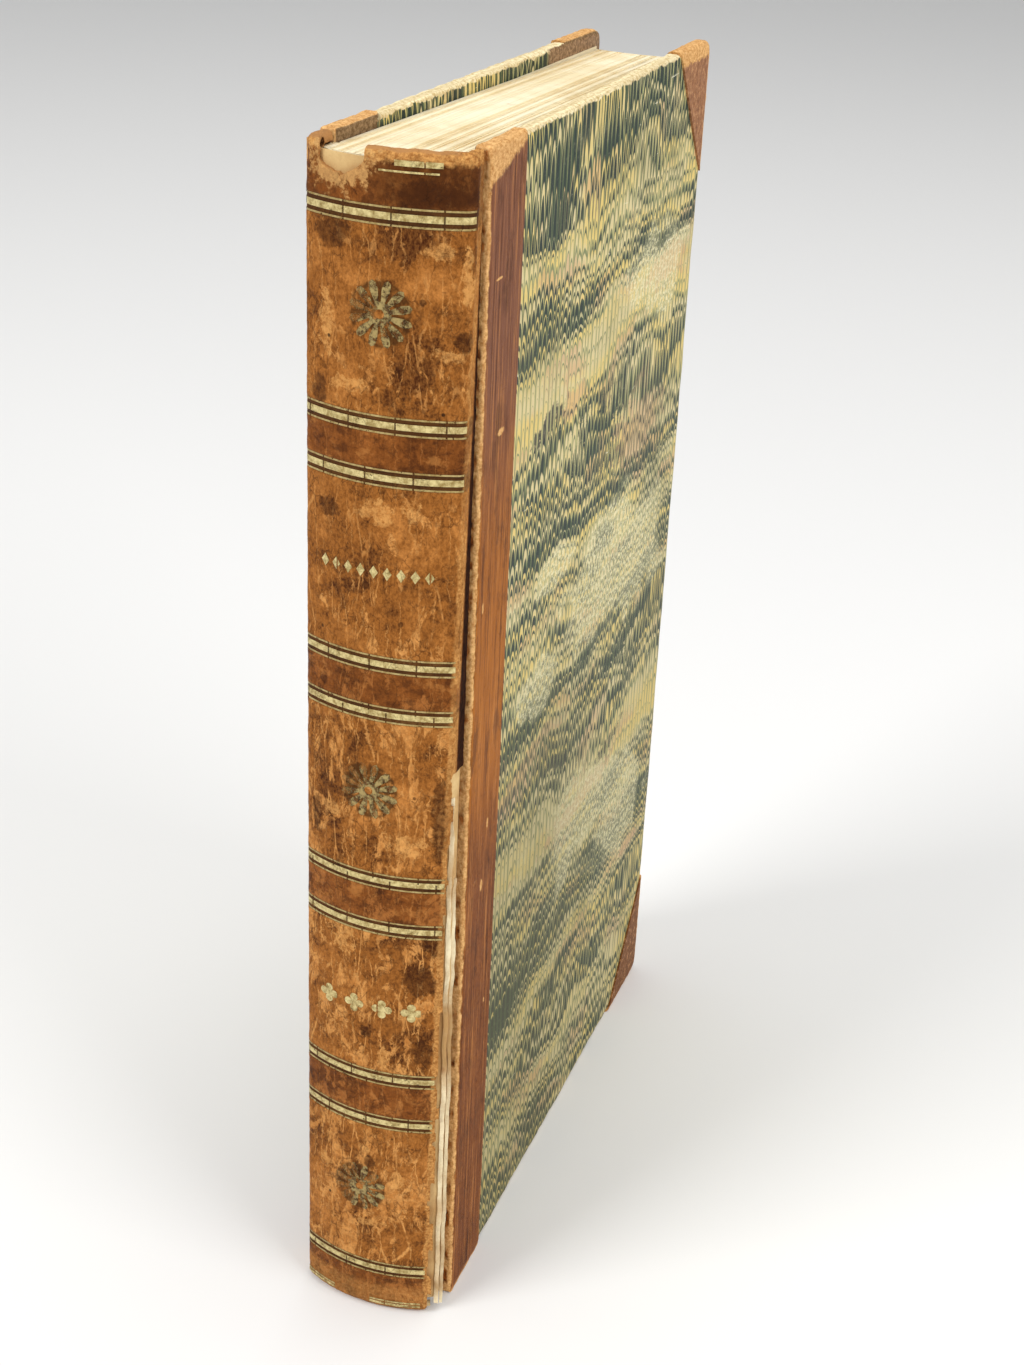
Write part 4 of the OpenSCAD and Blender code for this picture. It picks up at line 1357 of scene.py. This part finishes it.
class BOOK_OT_corners(bpy.types.Operator):
    """Calf corners, bumped and rubbed"""

    bl_idname = "book.corners"
    bl_label = "Leather corners"

    def execute(self, context):
        for side, cover in COVERS:
            for end in ("head", "tail"):
                self.corner(side, cover, end)
        return {"FINISHED"}

    def corner(self, side, cover, end):
        node = f"{cover}_{end}_corner"
        box_low, box_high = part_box(node)
        along_board = (box_high.y - box_low.y) / math.cos(LEAN)
        along_fore = box_high.z - box_low.z
        low = Vector((BOARD_IN, BOARD_W - along_board, 0))
        high = Vector((-0.05 * MM, BOARD_W, along_fore))
        piece = box_piece(node + "_calf", low, high)
        round_edges(
            piece, lambda a, b: min(a.y, b.y) > high.y - MM and max(a.z, b.z) < MM, CALF_CORNER_R, 6,
        )
        round_edges(
            piece, lambda a, b: flat_across(a, b) and min(a.z, b.z) < high.z - MM, CALF_EDGE_R, 4,
        )
        bpy.ops.object.mode_set(mode="EDIT")
        bpy.ops.mesh.select_all(action="SELECT")
        bpy.ops.mesh.bisect(
            plane_co=(0, BOARD_W - along_board, 0), plane_no=(0, -along_fore, along_board),
            use_fill=True, clear_outer=True,
        )
        leave_edit()
        cut_along(
            piece,
            ("Y", steps(low.y, high.y, 0.8 * MM)),
            ("Z", steps(0, high.z, 0.8 * MM)),
            ("X", steps(low.x, high.x, 0.7 * MM)),
        )

        def rim(p):
            return 1 - min(p.z, high.y - p.y) / (1.6 * MM)

        edges = weigh(piece, "rim", rim)
        roughen(piece, 1.6 * MM, 0.4 * MM, edges, middle=0.85, octaves=4)
        if end == "head":
            piece.scale = (1, 1, -1)
            piece.location = (0, 0, BOARD_TOP)
            take(piece)
            apply_place()
            outward(piece)
        shade(piece, 50)
        to_cover(piece, side)
        finish(piece, side_calf(side, cover), cover + "_cover", [node])


# Calf over the back joint: its width, thickness, gap at head and tail, and how far it reaches over the board
# and under the spine's calf
JOINT_WIDE = 5.2 * MM
JOINT_THICK = 0.25 * MM
JOINT_GAP = 1.2 * MM
JOINT_OVER = 1.4 * MM
JOINT_UNDER = 0.14 * MM


class BOOK_OT_back_joint(bpy.types.Operator):
    """Calf over the back joint"""

    bl_idname = "book.back_joint"
    bl_label = "Back joint"

    def execute(self, context):
        joint = sheet_piece("back_joint_calf", JOINT_WIDE, BOARD_TOP - 2 * JOINT_GAP, 16, 160)
        roughen(joint, 3 * MM, 0.12 * MM, "", direction="Y")
        modify(joint, "SOLIDIFY", thickness=JOINT_THICK, offset=0)
        joint.rotation_euler = (0, 0, math.pi / 2)
        joint.location = (-HINGE_X + JOINT_UNDER, JOINT_Y - JOINT_WIDE + JOINT_OVER, JOINT_GAP)
        take(joint)
        apply_place()
        shade(joint, 50)
        finish(joint, side_calf(-1, "back"), None)
        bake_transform(joint)
        return {"FINISHED"}


# Torn papers of the front joint in millimetres: foot, head, width, how far out and forward their inner edge
# stands, and how many degrees they are turned from facing the spine
JOINT_PAPERS = [
    (2.0, 117.5, 0.85, 13.2, -5.2, 18),
    (1.5, 101.0, 0.65, 13.9, -4.2, 28),
    (2.5, 64.0, 0.7, 13.5, -3.2, 36),
]


# Length of the ragged tip of each torn paper, and its thickness
TIP_LONG = 14 * MM
PAPER_THICK = 0.2 * MM


class BOOK_OT_front_joint(bpy.types.Operator):
    """Torn paper that shows in the cracked front joint"""

    bl_idname = "book.front_joint"
    bl_label = "Torn front joint"

    def execute(self, context):
        material = fibrous_material("Joint paper")
        for i, (foot, head, wide, out, forward, turn) in enumerate(JOINT_PAPERS):
            tall = (head - foot) * MM
            paper = sheet_piece(f"joint_paper_{i + 1}", wide * MM, tall, 8, 2 * int(head - foot))
            tip = weigh(paper, "tip", lambda p: (p.z - tall + TIP_LONG) / TIP_LONG)
            select_points(paper, lambda p: p.z > tall - 0.2 * MM)
            bpy.ops.transform.resize(value=(0.1, 1, 1), center_override=(wide * MM * 0.8, 0, tall))
            leave_edit()
            roughen(paper, 2.2 * MM, 0.6 * MM, direction="Y", octaves=3)
            roughen(paper, 4.5 * MM, 0.7 * MM, direction="X", octaves=4)
            roughen(paper, 5 * MM, 1.2 * MM, tip, direction="X", octaves=2)
            modify(paper, "SOLIDIFY", thickness=PAPER_THICK, offset=0)
            paper.rotation_euler = (0, 0, math.radians(turn))
            paper.location = (out * MM, JOINT_Y + forward * MM, foot * MM)
            take(paper)
            apply_place()
            shade(paper, 60)
            finish(paper, material, "book_block")
        return {"FINISHED"}


# Camera solved from the photograph: place in metres; azimuth, elevation and roll in degrees; lens in
# millimetres
CAMERA_PLACE = (0.122877, -0.346187, 0.288988)
CAMERA_ANGLES = (19.4326, 26.225, 2.70)
CAMERA_LENS = 52.75
# The studio in metres and watts: each lamp's name, place, size and power, and where they all point
LAMPS = (
    ("key", (-0.75, -1.05, 1.15), 0.7, 16.0),
    ("side", (1.25, -0.45, 0.75), 0.9, 12.0),
    ("top", (0.1, 0.3, 1.6), 1.0, 8.0),
)
LIT_PLACE = Vector((0, -0.03, 0.12))
SKY_COLOUR = (0.95, 0.97, 1.0, 1)
SKY_STRENGTH = 0.55
FLOOR_SIZE = 16
FLOOR_MIDDLE = (0, -2.8, 0)
FLOOR_FAR = 5
WALL_HEIGHT = 5
COVE_R = 1.6


class BOOK_OT_stage(bpy.types.Operator):
    """Pale floor and backdrop, soft studio light and the camera at the photograph's viewing angle"""

    bl_idname = "book.stage"
    bl_label = "Stage"

    def execute(self, context):
        scene = context.scene
        scene.view_settings.view_transform = "Standard"
        deselect()
        bpy.ops.mesh.primitive_grid_add(
            x_subdivisions=2, y_subdivisions=2, size=FLOOR_SIZE, location=FLOOR_MIDDLE,
        )
        floor = named("floor")
        take(floor)
        apply_place()
        select_edges(floor, lambda a, b: min(a.y, b.y) > FLOOR_FAR)
        bpy.ops.mesh.extrude_region_move(TRANSFORM_OT_translate={"value": (0, 0, WALL_HEIGHT)})
        leave_edit()
        round_edges(floor, lambda a, b: min(a.y, b.y) > FLOOR_FAR and max(a.z, b.z) < 0.1, COVE_R, 16)
        shade(floor, 60)
        colour = tuple(looks().backdrop) + (1.0,)
        plain = new_material("Backdrop", lambda w: {"Base Color": colour, "Roughness": 0.9})
        floor.data.materials.append(plain)
        self.lights()
        self.camera(scene)
        world = bpy.data.worlds.new("Studio")
        scene.world = world
        world.use_nodes = True
        background = world.node_tree.nodes["Background"].inputs
        background["Color"].default_value = SKY_COLOUR
        background["Strength"].default_value = SKY_STRENGTH
        return {"FINISHED"}

    def lights(self):
        for name, place, size, power in LAMPS:
            deselect()
            bpy.ops.object.light_add(type="AREA", location=place)
            lamp = bpy.context.object
            lamp.name = name
            lamp.data.size = size
            lamp.data.energy = power
            lamp.rotation_euler = (LIT_PLACE - Vector(place)).to_track_quat("-Z", "Y").to_euler()

    def camera(self, scene):
        deselect()
        bpy.ops.object.camera_add(location=CAMERA_PLACE)
        camera = bpy.context.object
        azimuth, elevation, roll = (math.radians(a) for a in CAMERA_ANGLES)
        turn = Matrix.Rotation(azimuth, 3, "Z") @ Matrix.Rotation(math.pi / 2 - elevation, 3, "X")
        turn = turn @ Matrix.Rotation(roll, 3, "Z")
        camera.rotation_euler = turn.to_euler()
        camera.data.sensor_width = 36
        camera.data.lens = CAMERA_LENS
        scene.camera = camera


OPERATORS = (
    BOOK_OT_spine, BOOK_OT_gilt, BOOK_OT_pages, BOOK_OT_lining, BOOK_OT_marbled_sides, BOOK_OT_leather_strips,
    BOOK_OT_corners, BOOK_OT_back_joint, BOOK_OT_front_joint, BOOK_OT_stage,
)


class BOOK_PT_panel(bpy.types.Panel):
    """Sizes and steps of the book"""

    bl_idname = "BOOK_PT_panel"
    bl_label = "Antique leather book"
    bl_space_type = "VIEW_3D"
    bl_region_type = "UI"
    bl_category = "Book"

    def draw(self, context):
        for name in BookLooks.__annotations__:
            self.layout.prop(context.scene.book_looks, name)
        for operator in OPERATORS:
            self.layout.operator(operator.bl_idname)


CLASSES = (BookLooks, *OPERATORS, BOOK_PT_panel)


def register():
    for cls in CLASSES:
        bpy.utils.register_class(cls)
    bpy.types.Scene.book_looks = bpy.props.PointerProperty(type=BookLooks)


def unregister():
    del bpy.types.Scene.book_looks
    for cls in reversed(CLASSES):
        bpy.utils.unregister_class(cls)


def main():
    register()
    for operator in OPERATORS:
        group, name = operator.bl_idname.split(".")
        getattr(getattr(bpy.ops, group), name)()


if __name__ == "__main__":
    main()
